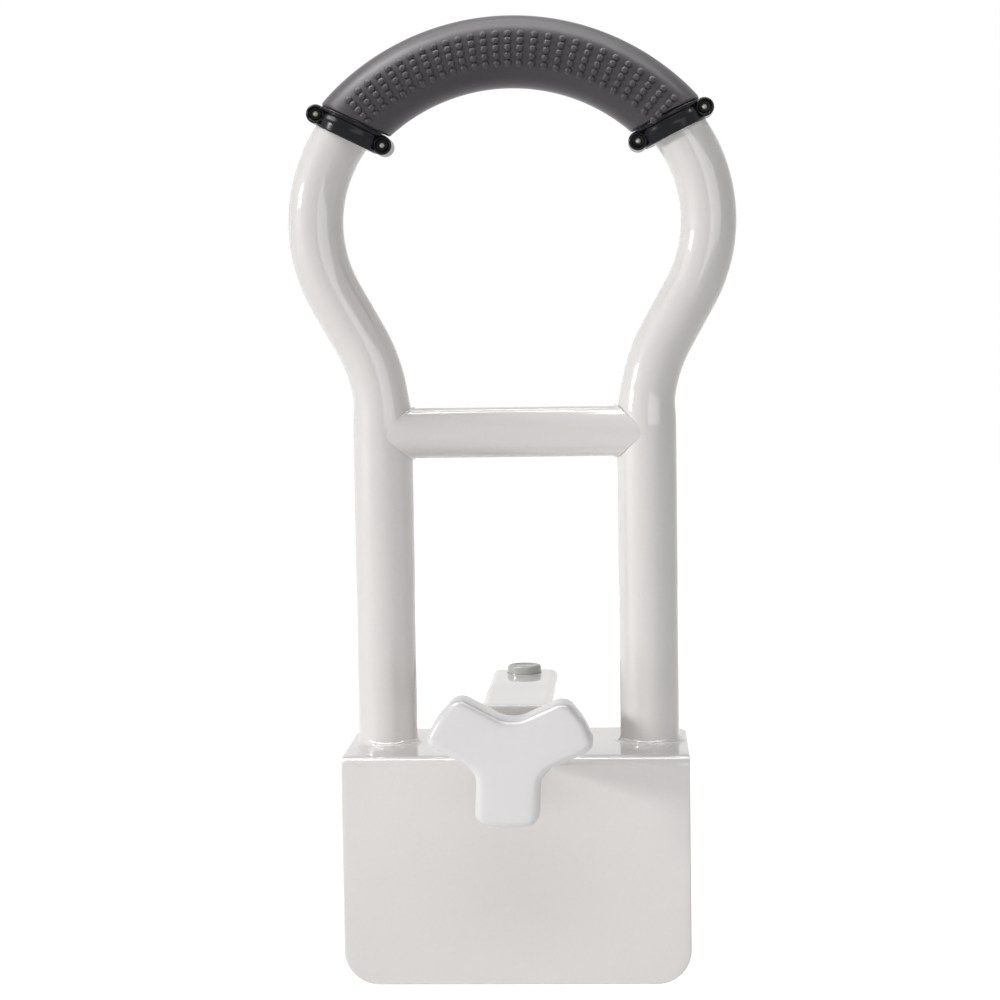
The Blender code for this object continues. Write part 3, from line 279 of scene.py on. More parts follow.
def soften(obj, width=0.25, angle=50, segments=2):
    """Rounds the edges that a cut has left sharp, and lets the large faces set the shading."""
    bevel = obj.modifiers.new("edges", "BEVEL")
    bevel.width, bevel.segments = width * mm, segments
    bevel.limit_method, bevel.angle_limit = "ANGLE", math.radians(angle)
    shading = obj.modifiers.new("shading", "WEIGHTED_NORMAL")
    shading.mode, shading.weight, shading.keep_sharp = "FACE_AREA", 100, True
    return settle(obj)


def finish(node, obj, look, body="rail"):
    """Hangs a piece on its body in place of its CAD node, with its finish.

    A piece that is blended between two bodies has none here. Its one slot holds the finish, which Blender may number
    because the frame has materials of the same names.
    """
    obj.name = obj.data.name = f"{node}_look"
    obj.data.materials.clear()
    obj.data.materials.append(look)
    if body:
        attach(obj, body)
    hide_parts(node)


def along_y(x, y, z):
    """Frame at a point whose Z runs back along +Y, and whose X stays along +X."""
    return upright(x, y, z) @ Matrix.Rotation(-math.pi / 2, 4, "X")


def upright(x, y, z):
    return Matrix.Translation((x, y, z))


AT_SPINDLE = along_y(0, FACE, SPINDLE_Z)
AT_LATCH = upright(0, LATCH_Y, 0)


def under_legs(radius, low, high):
    return [rod(radius, low, high, upright(side * HALF_SPACING, 0, 0), 72) for side in (-1, 1)]


# ---- finishes

def new_group(name, output, kind, *inputs):
    """Empty node group with an output and these input values, and its two end nodes."""
    group = bpy.data.node_groups.new(name, "ShaderNodeTree")
    for label, value in inputs:
        sort = "NodeSocketColor" if isinstance(value, tuple) else "NodeSocketFloat"
        group.interface.new_socket(label, in_out="INPUT", socket_type=sort).default_value = value
    group.interface.new_socket(output, in_out="OUTPUT", socket_type=kind)
    return group, group.nodes.new("NodeGroupInput"), group.nodes.new("NodeGroupOutput")


def plug(tree, value, socket):
    """Links a socket to an output, or gives it a plain value."""
    if isinstance(value, bpy.types.NodeSocket):
        tree.links.new(value, socket)
    else:
        socket.default_value = value


def feed(tree, node, values):
    for label, value in values.items():
        plug(tree, value, node.inputs[label.replace("_", " ")])
    return node


def add_node(tree, kind, **inputs):
    return feed(tree, tree.nodes.new("ShaderNode" + kind), inputs)


def maths(tree, operation, *values):
    node = tree.nodes.new("ShaderNodeMath")
    node.operation = operation
    for value, socket in zip(values, node.inputs):
        plug(tree, value, socket)
    return node.outputs[0]


def object_place(tree):
    return add_node(tree, "TexCoord").outputs["Object"]


def noise(tree, scale, detail=2.0, roughness=0.5):
    """Cloudy pattern on object coordinates."""
    inputs = {"Vector": object_place(tree), "Scale": scale, "Detail": detail, "Roughness": roughness}
    return add_node(tree, "TexNoise", **inputs).outputs["Fac"]


def build_tone_group():
    """Colour made lighter and darker by a share, in broad clouds with a fine speckle on them."""
    inputs = ("Color", (0.8, 0.8, 0.8, 1)), ("Shift", 0.03), ("Scale", 20.0)
    group, start, end = new_group("tone", "Color", "NodeSocketColor", *inputs)
    broad = noise(group, start.outputs["Scale"])
    fine = noise(group, maths(group, "MULTIPLY", start.outputs["Scale"], 45.0))
    both = maths(group, "MULTIPLY_ADD", broad, 0.4, maths(group, "MULTIPLY", fine, 0.6))
    centred = maths(group, "MULTIPLY", maths(group, "SUBTRACT", both, 0.5), 4.0)
    factor = maths(group, "MULTIPLY_ADD", centred, start.outputs["Shift"], 1.0)
    scale = group.nodes.new("ShaderNodeVectorMath")
    scale.operation = "SCALE"
    group.links.new(start.outputs["Color"], scale.inputs[0])
    group.links.new(factor, scale.inputs["Scale"])
    group.links.new(scale.outputs[0], end.inputs["Color"])
    return group


def build_gloss_group():
    """Roughness that wanders a little, as handling and moulding leave it."""
    inputs = ("Roughness", 0.3), ("Spread", 0.1), ("Scale", 60.0)
    group, start, end = new_group("gloss", "Roughness", "NodeSocketFloat", *inputs)
    cloud = maths(group, "SUBTRACT", noise(group, start.outputs["Scale"], 4.0, 0.6), 0.5)
    gloss = maths(group, "MULTIPLY_ADD", cloud, start.outputs["Spread"], start.outputs["Roughness"])
    group.links.new(gloss, end.inputs[0])
    return group


def build_grain_group():
    """Height of a fine skin: a coarse swell and a fine grain on it."""
    inputs = ("Scale", 900.0), ("Fineness", 0.4)
    group, start, end = new_group("grain", "Height", "NodeSocketFloat", *inputs)
    coarse = noise(group, start.outputs["Scale"], 1.0)
    fine = noise(group, maths(group, "MULTIPLY", start.outputs["Scale"], 5.0))
    group.links.new(maths(group, "MULTIPLY_ADD", fine, start.outputs["Fineness"], coarse), end.inputs[0])
    return group


def build_spangle_group():
    """Crystals of plated zinc: cells that differ in shade, as a mask."""
    group, start, end = new_group("spangle", "Mask", "NodeSocketFloat", ("Scale", 300.0))
    cells = add_node(group, "TexVoronoi", Vector=object_place(group), Scale=start.outputs["Scale"])
    split = add_node(group, "SeparateColor", Color=cells.outputs["Color"])
    group.links.new(split.outputs[0], end.inputs[0])
    return group


GROUPS = {
    "tone": build_tone_group(),
    "gloss": build_gloss_group(),
    "grain": build_grain_group(),
    "spangle": build_spangle_group(),
}


def place_group(tree, name, **values):
    node = tree.nodes.new("ShaderNodeGroup")
    node.node_tree = GROUPS[name]
    return feed(tree, node, values).outputs[0]


def new_material(name):
    material = bpy.data.materials.new(name)
    material.use_nodes = True
    return material, material.node_tree, material.node_tree.nodes["Principled BSDF"]


def look(
    name, colour, roughness, metallic=0.0, shift=0.02, clouds=18.0, spread=0.06, grain=1400.0, depth=0.01, **extra
):
    """Material whose colour, gloss and grain come from the shared groups.

    Depth is the grain's height in millimetres, and the extras are the shader's own sockets.
    """
    material, tree, shader = new_material(name)
    grain_height = place_group(tree, "grain", Scale=grain)
    bump = add_node(tree, "Bump", Strength=1.0, Distance=depth * mm, Height=grain_height)
    feed(tree, shader, {
        "Base Color": place_group(tree, "tone", Color=(*colour, 1), Shift=shift, Scale=clouds),
        "Roughness": place_group(tree, "gloss", Roughness=roughness, Spread=spread),
        "Normal": bump.outputs["Normal"], "Metallic": metallic, **extra,
    })
    material.diffuse_color = (*colour, 1)
    return material


def tint(material, blend):
    """Puts a mix node before the shader's base colour, and returns the tree and the node."""
    tree = material.node_tree
    base = tree.nodes["Principled BSDF"].inputs["Base Color"]
    mix = tree.nodes.new("ShaderNodeMix")
    mix.data_type, mix.blend_type = "RGBA", blend
    mix.inputs[0].default_value = 1.0
    tree.links.new(base.links[0].from_socket, mix.inputs["A"])
    tree.links.new(mix.outputs["Result"], base)
    return tree, mix


def add_wear_and_glint(material, bare_and_glint=(0.3, 0.29, 0.27)):
    """Brightens a blackened metal by an attribute of the piece: wear where the finish is rubbed off, and a painted
    glint on top of it.
    """
    tree, mix = tint(material, "MIX")
    wear_glint = tree.nodes.new("ShaderNodeAttribute")
    wear_glint.attribute_name = "wear_glint"
    tree.links.new(wear_glint.outputs["Fac"], mix.inputs[0])
    mix.inputs["B"].default_value = (*bare_and_glint, 1)
    return material


def add_spangle(material, dark=0.82):
    """Shades a plated metal's colour crystal by crystal."""
    tree, mix = tint(material, "MULTIPLY")
    shade = add_node(tree, "MapRange", Value=place_group(tree, "spangle", Scale=420.0), To_Min=dark)
    tree.links.new(shade.outputs[0], mix.inputs["B"])
    return material


PAINT = look(
    "white_paint", (0.79, 0.765, 0.748), 0.5, spread=0.03, grain=700.0, depth=0.004,
    Coat_Weight=1.0, Coat_Roughness=0.02, Coat_IOR=1.6,
)
PLASTIC = look(
    "white_plastic", (0.80, 0.786, 0.79), 0.3, shift=0.01, grain=1800.0, depth=0.004,
    Specular_IOR_Level=0.4, Coat_Weight=0.35, Coat_Roughness=0.08,
)
SOFT = look(
    "soft_grey", (0.064, 0.058, 0.064), 0.38, shift=0.05, clouds=30.0, grain=2600.0, depth=0.02,
    Specular_IOR_Level=0.33, Sheen_Weight=0.2, Sheen_Roughness=0.35,
)
RUBBER = look("grey_rubber", (0.10, 0.10, 0.10), 0.75, shift=0.06, grain=2200.0, depth=0.05)
BLACK = look(
    "black_plastic", (0.005, 0.0055, 0.008), 0.2, shift=0.05, grain=1500.0, depth=0.004,
    Specular_IOR_Level=0.2,
)
BUTTON_GREY = look("grey_plastic", (0.50, 0.50, 0.48), 0.22, grain=2400.0)
BLACKENED = {"colour": (0.012, 0.0115, 0.011), "roughness": 0.25, "metallic": 1.0, "shift": 0.1, "grain": 3000.0}
STEEL = look("black_steel", clouds=400.0, **BLACKENED)
# Screw sockets brightened inside: partly rubbed wear, partly a painted glint.
GLINTING_WORN_STEEL = add_wear_and_glint(look("socket_steel", **BLACKENED))
ZINC = look("zinc", (0.66, 0.66, 0.65), 0.34, metallic=1.0, spread=0.2, shift=0.03, depth=0.006)
add_spangle(ZINC)
BRASS = look("brass", (0.72, 0.52, 0.24), 0.34, metallic=1.0, shift=0.05, spread=0.15, depth=0.006)
NYLON = look("nylon", (0.82, 0.80, 0.76), 0.5, Subsurface_Weight=0.05)


# ---- rail

def shoulder_centre():
    """Centre (x, z) of the right shoulder's bend, past the leg, the bend out and the slant."""
    sine, cosine = math.sin(BEND), math.cos(BEND)
    x = HALF_SPACING + BEND_RADIUS * (1 - cosine) + SLANT * sine - SHOULDER_RADIUS * cosine
    z = DECK + LEG_STRAIGHT + (BEND_RADIUS + SHOULDER_RADIUS) * sine + SLANT * cosine
    return x, z


SHOULDER_CENTRE = shoulder_centre()


def rail_line():
    """Half of the rail's centre line, from the right foot to the crown's middle.

    The heading is a broken line over the length: straight up, out, straight, back over and on
    round the crown. Places are the running sum of its sine and cosine.
    """
    shoulder_x = SHOULDER_CENTRE[0] + SHOULDER_RADIUS * math.cos(CROWN_END)
    crown = shoulder_x / math.cos(CROWN_END)
    shoulder = SHOULDER_RADIUS * (BEND + CROWN_END)
    parts = [LEG_STRAIGHT - GAP, BEND_RADIUS * BEND, SLANT, shoulder, crown * (math.pi / 2 - CROWN_END)]
    knots = np.concatenate([[0], np.cumsum(parts)])
    heading = np.array([0, 0, BEND, BEND, -CROWN_END, -math.pi / 2])
    length = np.linspace(0, knots[-1], 8001)
    turn = np.interp(length, knots, heading)

    def running(values):
        return np.concatenate([[0], np.cumsum((values[1:] + values[:-1]) / 2 * np.diff(length))])

    x = HALF_SPACING + running(np.sin(turn))
    z = DECK + GAP + running(np.cos(turn))
    return knots, length, grid(x, 0, z), turn, crown


KNOTS, LENGTH, LINE, TURN, CROWN_RADIUS = rail_line()
CROWN_CENTRE = np.array([0, 0, LINE[-1, 2] - CROWN_RADIUS])


def rail_at(length):
    """Places and outward directions at signed lengths from the crown's middle, right side positive."""
    run = KNOTS[-1] - np.abs(length)
    side = np.where(length < 0, -1.0, 1.0)
    place = np.stack([np.interp(run, LENGTH, LINE[:, axis]) for axis in range(3)], -1)
    turn = np.interp(run, LENGTH, TURN)
    place[..., 0] *= side
    return place, grid(np.cos(turn) * side, 0, -np.sin(turn))


def rail_rows():
    """Signed lengths of the rail's rings, close together in the bends."""
    ends = (KNOTS[-1] - KNOTS)[::-1]
    parts = [np.linspace(*pair, count)[:-1] for *pair, count in zip(ends, ends[1:], (24, 52, 6, 28, 30))]
    right = np.concatenate([*parts, ends[-1:]])
    return np.concatenate([-right[:0:-1], right])


def rail_radius(length):
    """Tube radius: the straight legs are a little stouter than the drawn bends."""
    share = np.clip((KNOTS[-1] - np.abs(length) - KNOTS[1] + 2) / 14, 0, 1)
    return TUBE_RADIUS + (BENT_RADIUS - TUBE_RADIUS) * share * share * (3 - 2 * share)


def rail_rings(length, radius, columns):
    """Circles round the rail, a row for each length, which may differ from column to column."""
    place, outward = rail_at(length)
    angle = full_turn(columns)[:, None]
    return place + radius[..., None] * (outward * np.cos(angle) + np.array([0, 1, 0]) * np.sin(angle))


def make_frame_tube():
    """Circles along the rail outside, and back along its bore."""
    length = rail_rows()[:, None]
    radius = rail_radius(length)
    outside = rail_rings(length, radius, 80)
    inside = rail_rings(length[::-1], radius[::-1] - 1.8, 80)
    return piece(skin(np.concatenate([outside, inside]), loop=True))


def make_crossbar():
    """Round bar whose coped ends carry a thin raised bead of weld where they meet the legs.

    Over the last rows the radius rises and falls by a half sine, less towards the front, where
    bar and leg are nearly flush.
    """
    angle, share = full_turn(144), np.linspace(0, 1, 11)[:, None]
    radius, wall, width = 11.8, 1.5, 1.5
    ripple = 1 + 0.25 * np.sin(23 * angle + 1) + 0.15 * np.sin(9 * angle)
    frontal = 0.25 + 0.75 * np.abs(np.cos(angle))
    grown = radius + 0.6 * np.sin(math.pi * share) ** 0.8 * frontal * ripple
    back = (1 - share) * width

    def ring(reach, stand_off):
        y = np.clip(reach * np.sin(angle) - 1.75, -13.8, 13.8)
        z = DECK + 146.8 + reach * np.cos(angle)
        x = HALF_SPACING - np.sqrt((TUBE_RADIUS - 0.05) ** 2 - y * y) - stand_off
        return grid(x, y, z)

    right = ring(grown, back)
    left = right[::-1] * [-1, 1, 1]
    bore = ring(np.full((1, len(angle)), radius - wall), 0)
    return piece(skin(np.concatenate([left, right, bore, bore * [-1, 1, 1]]), loop=True), sharp=50)


def make_base_weld(side):
    """Fillet of weld round a leg's foot: a hollow quarter circle that ripples along and across.

    From the tube down to the deck the radius grows by spread (1 - cos t) and the height falls by
    (1 - sin t); ripples lift it by a sine of t whose phase wanders round the foot.
    """
    angle, turn = full_turn(240), quarter_turn(22)[:, None]
    lump = 0.5 * np.sin(7 * angle + 2.1 * side) + 0.3 * np.sin(12 * angle + 0.7) + 0.2 * np.sin(31 * angle)
    spread, height = 3.3 + 0.35 * lump, 3 + 0.5 * lump
    phase = 13 * turn + 1.1 * np.sin(5 * angle + side) + 0.5 * np.sin(17 * angle)
    ripple = 0.13 * np.sin(2 * turn) * np.sin(phase)
    radius = TUBE_RADIUS - 0.03 + spread * (1 - np.cos(turn)) + ripple * np.cos(turn)
    up = DECK - 0.02 + height * (1 - np.sin(turn)) + ripple * np.sin(turn)
    foot = np.array([[TUBE_RADIUS + 3], [TUBE_RADIUS - 0.03]]) + 0 * angle
    radius, up = np.concatenate([radius, foot]), np.concatenate([up, np.full(foot.shape, DECK - 0.1)])
    rings = grid(side * HALF_SPACING + radius * np.cos(angle), radius * np.sin(angle), up)
    return piece(skin(rings, loop=True), sharp=60)


# ---- clamp body and pads

def make_clamp_body():
    """Bent sheet: an outline on the flat sheet, laid over the fold by its developed length.

    The face is rows across the sheet, the rim is the outline carried round a rounded edge.
    """
    outer, sheet, half, edge = 5, 3, 80, 0.7
    rise, fold, run = 101, outer * math.pi / 2, 77
    total = rise + fold + run
    low_corner, rear_corner = 16, 12

    def right_side(depth):
        foot = polar(low_corner - depth, quarter_turn(17) - math.pi / 2) + [half - low_corner, low_corner]
        rows = np.concatenate([
            np.linspace(low_corner, rise, 14)[1:],
            rise + np.linspace(0, fold, 17)[1:],
            np.linspace(rise + fold, total - rear_corner, 10)[1:-1],
        ])
        side = np.stack([np.full(len(rows), half - depth), rows], 1)
        rear = polar(rear_corner - depth, quarter_turn(15)) + [half - rear_corner, total - rear_corner]
        return np.concatenate([foot, side, rear])

    def laid(flat, depth):
        """A point of the flat sheet at a depth below its face, bent into place, with a slight wave."""
        x, length = flat[..., 0], flat[..., 1]
        depth = depth + 0.05 * np.sin(x * 0.042 + 1) * np.sin(length * 0.033)
        turn = np.clip(length - rise, 0, fold) / outer
        y = FACE + outer - (outer - depth) * np.cos(turn) + np.clip(length - rise - fold, 0, None)
        z = DECK - outer + (outer - depth) * np.sin(turn) - np.clip(rise - length, 0, None)
        return grid(x, y, z)

    across = np.linspace(1, -1, 41)

    def face(depth_in, depth):
        side = right_side(depth_in)
        return laid(np.stack([side[:, :1] * across, side[:, 1:] + 0 * across], -1), depth)

    def loop(depth_in, depth):
        side = right_side(depth_in)
        left = side[::-1] * [-1, 1]
        top = np.stack([side[-1, 0] * across, side[-1, 1] + 0 * across], 1)[1:-1]
        foot = np.stack([side[0, 0] * -across, side[0, 1] + 0 * across], 1)[1:-1]
        return laid(np.concatenate([side, top, left, foot]), depth)

    rings = np.array([loop(depth_in, height) for depth_in, height in rim(sheet, edge)])
    body = piece(skin(face(edge, 0), around=False), skin(face(edge, sheet), around=False), skin(rings))
    return carve(body, *under_legs(10, -20, 20))


def make_upright_pad(half, top, front):
    """Pad between the bath's side and the front plate or the rear jaw."""
    return piece(slab(rectangle(-half, half, FOOT + 10, top, 8), front, front + 4, "Y", 0.9))


def make_rim_pad():
    pad = piece(slab(rectangle(-70, 70, FACE + 7.6, FACE + 72, 8), 0, 3, "Z", 0.7))
    return carve(pad, *under_legs(11, -5, 9))


# ---- grip and collars

def collar_frame(side):
    """Frame of a collar: X joins its screws, Z runs up the tube to the grip."""
    reach, lean = SHOULDER_RADIUS - 1.5, math.radians(13.3)
    x = SHOULDER_CENTRE[0] + reach * math.cos(COLLAR_TURN)
    z = SHOULDER_CENTRE[1] + reach * math.sin(COLLAR_TURN)
    return upright(side * x, 0, z) @ Matrix.Rotation(-side * (COLLAR_TURN - lean), 4, "Y")


def make_grip():
    """Soft sleeve: a closed profile of (length in from an end, radius) on every line round it.

    Each line along the sleeve starts and ends where it crosses the collars' planes, so both
    ends are cut at the collars' slant. The nubs are domes in five rows on its front.
    """
    columns, edge, plane, bore = 96, 1.3, 5.05, BENT_RADIUS + 0.15
    length = np.linspace(-150, 150, 1201)

    def ends(radius):
        """Lengths at which the lines at a radius cross the left and right collars' planes."""
        rings = rail_rings(length[:, None], np.array([[radius]]), columns)
        line, found = np.arange(columns), []
        for side in (-1, 1):
            frame_inverse = np.array(collar_frame(side).inverted())
            height = rings @ frame_inverse[2, :3] + frame_inverse[2, 3]
            inside = height > plane
            index = np.argmax(inside, 0) if side < 0 else len(length) - 1 - np.argmax(inside[::-1], 0)
            other = index + side
            share = (plane - height[other, line]) / (height[index, line] - height[other, line])
            found.append(length[other] + share * (length[index] - length[other]))
        return found

    start, stop = ends(GRIP_RADIUS)
    bore_start, bore_stop = ends(bore)
    turn = quarter_turn(7)
    lip, step = GRIP_RADIUS - edge + edge * np.sin(turn), edge * (1 - np.cos(turn))[:, None]
    left, right = start + step, stop - step[::-1]
    body = start + (stop - start) * np.linspace(0, 1, 122)[1:-1, None]
    back = bore_stop + (bore_start - bore_stop) * np.linspace(0, 1, 60)[:, None]
    rows = np.concatenate([left, body, right, back])
    radii = np.concatenate([lip, np.full(len(body), GRIP_RADIUS), lip[::-1], np.full(len(back), bore)])
    sleeve = skin(rail_rings(rows, radii[:, None], columns), loop=True)
    return piece(sleeve, *grip_nubs(), sharp=60)


def grip_nubs():
    """Domes on the sleeve's front, closer together left of the mould's seam than right of it."""
    around = np.radians(np.concatenate([90 + 3.05 * np.arange(15), 86.9 - 3.43 * np.arange(13)]))[:, None]
    tilt = np.radians(-23.4 + 11.8 * np.arange(5))[None]
    fade = np.clip(0.55 + np.abs(np.degrees(around) - 138) / 12, 0, 1) * np.ones_like(tilt)
    outward = grid(np.cos(around) * np.sin(tilt), -np.cos(tilt), np.sin(around) * np.sin(tilt)).reshape(-1, 3)
    ahead = grid(-np.sin(around), 0 * tilt, np.cos(around)).reshape(-1, 3)
    spoke = grid(np.cos(around), 0 * tilt, np.sin(around)).reshape(-1, 3)
    centre = CROWN_CENTRE + CROWN_RADIUS * spoke + GRIP_RADIUS * outward
    beside = np.cross(ahead, outward)
    profile = np.array([
        (0, -0.6), (1.9, -0.6), (1.86, 0.1), (1.74, 0.5), (1.48, 0.9), (1.1, 1.22), (0.6, 1.44), (0, 1.5),
    ])
    radius, height = profile.T[..., None, None]
    turn = full_turn(14)[None, :, None]
    flat = np.cos(turn) * ahead[:, None, None] + np.sin(turn) * beside[:, None, None]
    domes = radius * flat + height * outward[:, None, None]
    return [skin(dome) for dome in centre[:, None, None] + fade.reshape(-1, 1, 1, 1) * domes]


def make_collar_half(side, end):
    """Half collar: a turned band and two bosses, split, bored round the tube and drilled."""
    matrix = collar_frame(side)
    outer, half, far = BENT_RADIUS + 3.5, 4.75, 14
    lip = outer + 0.8
    band = [
        (0, half, 0), (lip, half, 0.5), (lip, half - 1.5, 0.5), (outer - 0.6, half - 2.4, 0.8),
        (outer + 0.1, -0.4, 5), (outer - 0.9, -half, 0.9), (0, -half, 0),
    ]
    if end == "front":
        low, high, depth, seat = -30, -0.4, -9, -5.4
        hole = [
            (0, 3, 0), (1.8, 3, 0), (1.8, seat, 0), (3.3, seat, 0),
            (3.3, depth + 0.25, 0), (3.8, depth - 0.25, 0), (3.8, -far, 0), (0, -far, 0),
        ]
    else:
        low, high, depth, seat = 0.4, 30, 9, 6.3
        hole = [
            (0, -3, 0, 0), (1.8, -3, 0, 0), (1.8, seat, 0, 0), (3.05, seat, 0, 1), (3.05, far, 0, 1), (0, far, 0, 1),
        ]
    base = -depth / 5
    boss = [(0, base, 0), (4.49, base, 0), (4.49, depth, 1.3), (0, depth, 0)]
    spots = [matrix @ along_y(place, 0, 0) for place in (-SCREW_REACH, SCREW_REACH)]
    where = KNOTS[-1] - KNOTS[3] - SHOULDER_RADIUS * (BEND + COLLAR_TURN)
    tube = swept(*rail_at(side * np.linspace(where - 16, where + 16, 40)), BENT_RADIUS + 0.2, 96)
    steps = [("UNION", turned(boss, spot, 56, 6)) for spot in spots]
    steps += [("INTERSECT", block((-40, low, -21), (40, high, 20), matrix)), ("DIFFERENCE", tube)]
    steps += [("DIFFERENCE", turned(hole, spot, 48, 1)) for spot in spots]
    return soften(combine(piece(turned(band, matrix, 144, 6)), *steps), 0.3, 40, 3)


def make_collar_screw(side, place):
    """Socket-head screw: a turned profile whose inner rows are a hexagon.

    Its brightening mark is 1 deep inside the socket and falls to 0 at its wall: partly wear where the key rubs,
    partly a painted glint.
    """
    spot = collar_frame(side) @ along_y(place * SCREW_REACH, 0, 0)
    head = -8.7
    profile = [
        (0, head + 1.3, 0, 1), (0.5, head + 1.3, 0, 1), (1.3, head + 0.9, 0, 1), (1.3, head + 0.35, 0, 1),
        (1.65, head, 0, 0), (2.75, head, 0.4, 0), (2.75, head + 3, 0.1, 0), (1.5, head + 3, 0, 0),
        (1.5, 8.6, 0, 0), (1.2, 9, 0, 0), (0, 9, 0, 0),
    ]
    screw = piece(turned(profile, spot, 48, 3))
    points = np.array([vertex.co for vertex in screw.data.vertices]) / mm
    local = placed((points, None), spot.inverted())[0]
    reach = np.linalg.norm(local[:, :2], axis=1)
    # Painted glint mixed with wear: bright deep in the socket, fading to its wall.
    wear_glint = np.clip((1.35 - reach) / 0.3, 0, 1) * (local[:, 2] < head + 2)
    screw.data.attributes.new("wear_glint", "FLOAT", "POINT").data.foreach_set("value", wear_glint.astype(np.float32))
    return screw


def hexagon_profile(bore, apothem, low, high, chamfer):
    """Profile of a bored hexagonal bar whose ends are turned down to circles."""
    return [
        (bore, low, 0, 0), (apothem, low, 0, 0), (apothem, low + chamfer, 0, 1),
        (apothem, high - chamfer, 0, 1), (apothem, high, 0, 0), (bore, high, 0, 0),
    ]


def make_collar_nut(side, place):
    spot = collar_frame(side) @ along_y(place * SCREW_REACH, 0, 0)
    return piece(turned(hexagon_profile(1.62, 2.75, 6.6, 9, 0.3), spot, 48, 1, loop=True))


# ---- knob and screw drive

def knob_outline(depth):
    """Three straight-sided arms with bulging rounded ends, drawn in by a depth and flattened."""
    corners, half, tip = [], 14.1 - depth, max(6 - depth, 0.6)
    for arm in range(3):
        turn = math.radians(-92.5 + 120 * arm)
        along, left = polar(1, turn), polar(half, turn + math.pi / 2)
        corners += [
            (*(along * (35.6 - depth) - left), tip),
            (*(along * (37.2 - depth)), 30),
            (*(along * (35.6 - depth) + left), tip),
            (*polar(half / math.sin(math.pi / 3), turn + math.pi / 3), 13 + depth),
        ]
    return rounded(corners, 16) * [1, 0.85]


def make_knob():
    """Moulded knob: its outline carried from the face round its edges to a hub behind it."""
    front, rear, edge, swell, cove = -56, -34, 3.8, 0.25, 1.6
    turn = quarter_turn(9)
    face = knob_outline(edge)
    around = unit(face)
    curve = [(knob_outline(edge * (1 - math.sin(angle))), 1 - math.cos(angle)) for angle in turn]
    flare, lift = 13 + cove * (1 - np.sin(turn[::2])), cove * (1 - np.cos(turn[::2]))
    hub = [
        (13, -24.5), (12.6, -21.5), (9.2, -5), (9, -3.5), (9, 0.9), (8.4, 1.5), (4.3, 1.5),
        (4.3, -19.7), (7.3, -19.7), (7.3, -44.3), (0, -44.3),
    ]
    rows = [(face * share, front + swell * share**4) for share in (0, 0.25, 0.5, 0.72, 0.88, 0.97)]
    rows += [(outline, front + swell + (edge - swell) * fall) for outline, fall in curve]
    rows += [(outline, rear - edge * fall) for outline, fall in curve[::-1]]
    rows += [(face * (1 - share) + around * flare[0] * share, rear) for share in (0.35, 0.7)]
    rows += [(around * radius, height) for radius, height in (*zip(flare, rear + lift), *hub)]
    rings = [grid(outline[:, 0], FACE + height, SPINDLE_Z + outline[:, 1]) for outline, height in rows]
    return piece(skin(np.array(rings)), sharp=38)


def make_knob_insert():
    profile = hexagon_profile(4.3, 7 * math.cos(math.pi / 6), -44, -20, 0.5)
    return piece(turned(profile, AT_SPINDLE, 60, 1, loop=True))


def make_spindle():
    """Screw spindle: the thread is a triangle wave of the height less the angle, 2 mm a turn.

    It starts gradually, and the ring's groove and the end's chamfer are cut into it.
    """
    pitch, crest, deep, stop, columns = 2, 4, 1.1, 34.5, 60
    groove = [6.3, 6.31, 8.09, 8.1]
    height = np.concatenate([np.linspace(-44, 6, 40), groove, np.linspace(8.5, stop, 261)])[:, None]
    angle = full_turn(columns)
    wave = np.abs((height / pitch - angle / (2 * math.pi)) % 1 - 0.5) * 2
    depth = np.clip(wave * 1.3 - 0.15, 0, 1) * deep * np.clip((height - 10) / 2, 0, 1)
    radius = np.minimum(crest - depth, 3 + stop - height)
    radius = np.where((height > 6.2) & (height < 8.2), 3, radius)
    rings = grid(radius * np.cos(angle), radius * np.sin(angle), height)
    ends = rings[[0, -1]] * [0, 0, 1]
    return piece(placed(skin(np.concatenate([ends[:1], rings, ends[1:]])), AT_SPINDLE), sharp=45)


def make_retaining_ring():
    """Open ring with rounded ears: two arcs joined round their ends."""
    turn = np.radians(np.linspace(-40, 220, 61))
    outline = np.concatenate([polar(7, turn), polar(3.3, turn)[::-1]]) + [0, SPINDLE_Z]
    return piece(slab(outline, FACE + 6.6, FACE + 7.8, "Y", 0.2, 2))


def make_spindle_bush():
    profile = [(4.3, 6.3, 0.2), (5.6, 6.3, 0.3), (5.6, 3, 0), (7, 3, 0.3), (7, 1.8, 0.3), (4.3, 1.8, 0.2)]
    return piece(turned(profile, AT_SPINDLE, 64, 3, loop=True))


def guide_frame(place, side=1):
    """Frame of a guide screw's axis, whose Z runs out to a side."""
    return upright(0, FACE + place, GUIDE_Z) @ Matrix.Rotation(side * math.pi / 2, 4, "Y")


def make_guide_bracket():
    """U of sheet round the slide's front, its ears lower than its crest, drilled and rounded."""
    inner, outer, front, back, rear = 17.6, 20.6, FACE + 3.3, FACE + 6.3, FACE + 50
    ears, crest, shoulder = DECK + 13.5, DECK + 16.6, 8
    outline = rounded([
        (-outer, front, 3), (outer, front, 3), (outer, rear, 0.4), (inner, rear, 0.4),
        (inner, back, 0.6), (-inner, back, 0.6), (-inner, rear, 0.4), (-outer, rear, 0.4),
    ], 8)
    waste = rounded([(back + 3, ears, 2), (rear + 5, ears, 1), (rear + 5, crest + 5, 1), (back + 3, crest + 5, 1)])
    curve = [outer - shoulder, crest - shoulder] + polar(shoulder, quarter_turn(15)[::-1])
    corner = np.concatenate([curve, [[26, crest - shoulder], [26, crest + 5], [curve[0, 0], crest + 5]]])
    cutters = [slab(waste, -26, 26, "X", 0.1, 1)]
    cutters += [slab(cut, FACE - 5, rear + 5, "Y", 0.001, 1) for cut in (corner * [-1, 1], corner[::-1])]
    cutters.append(rod(5.9, -5, 12, AT_SPINDLE))
    cutters += [rod(2.8, -26, 26, guide_frame(place), 40) for place in GUIDE_PLACES]
    return soften(carve(piece(slab(outline, DECK + 0.3, crest, "Z", 0.3, 2)), *cutters), 0.3)


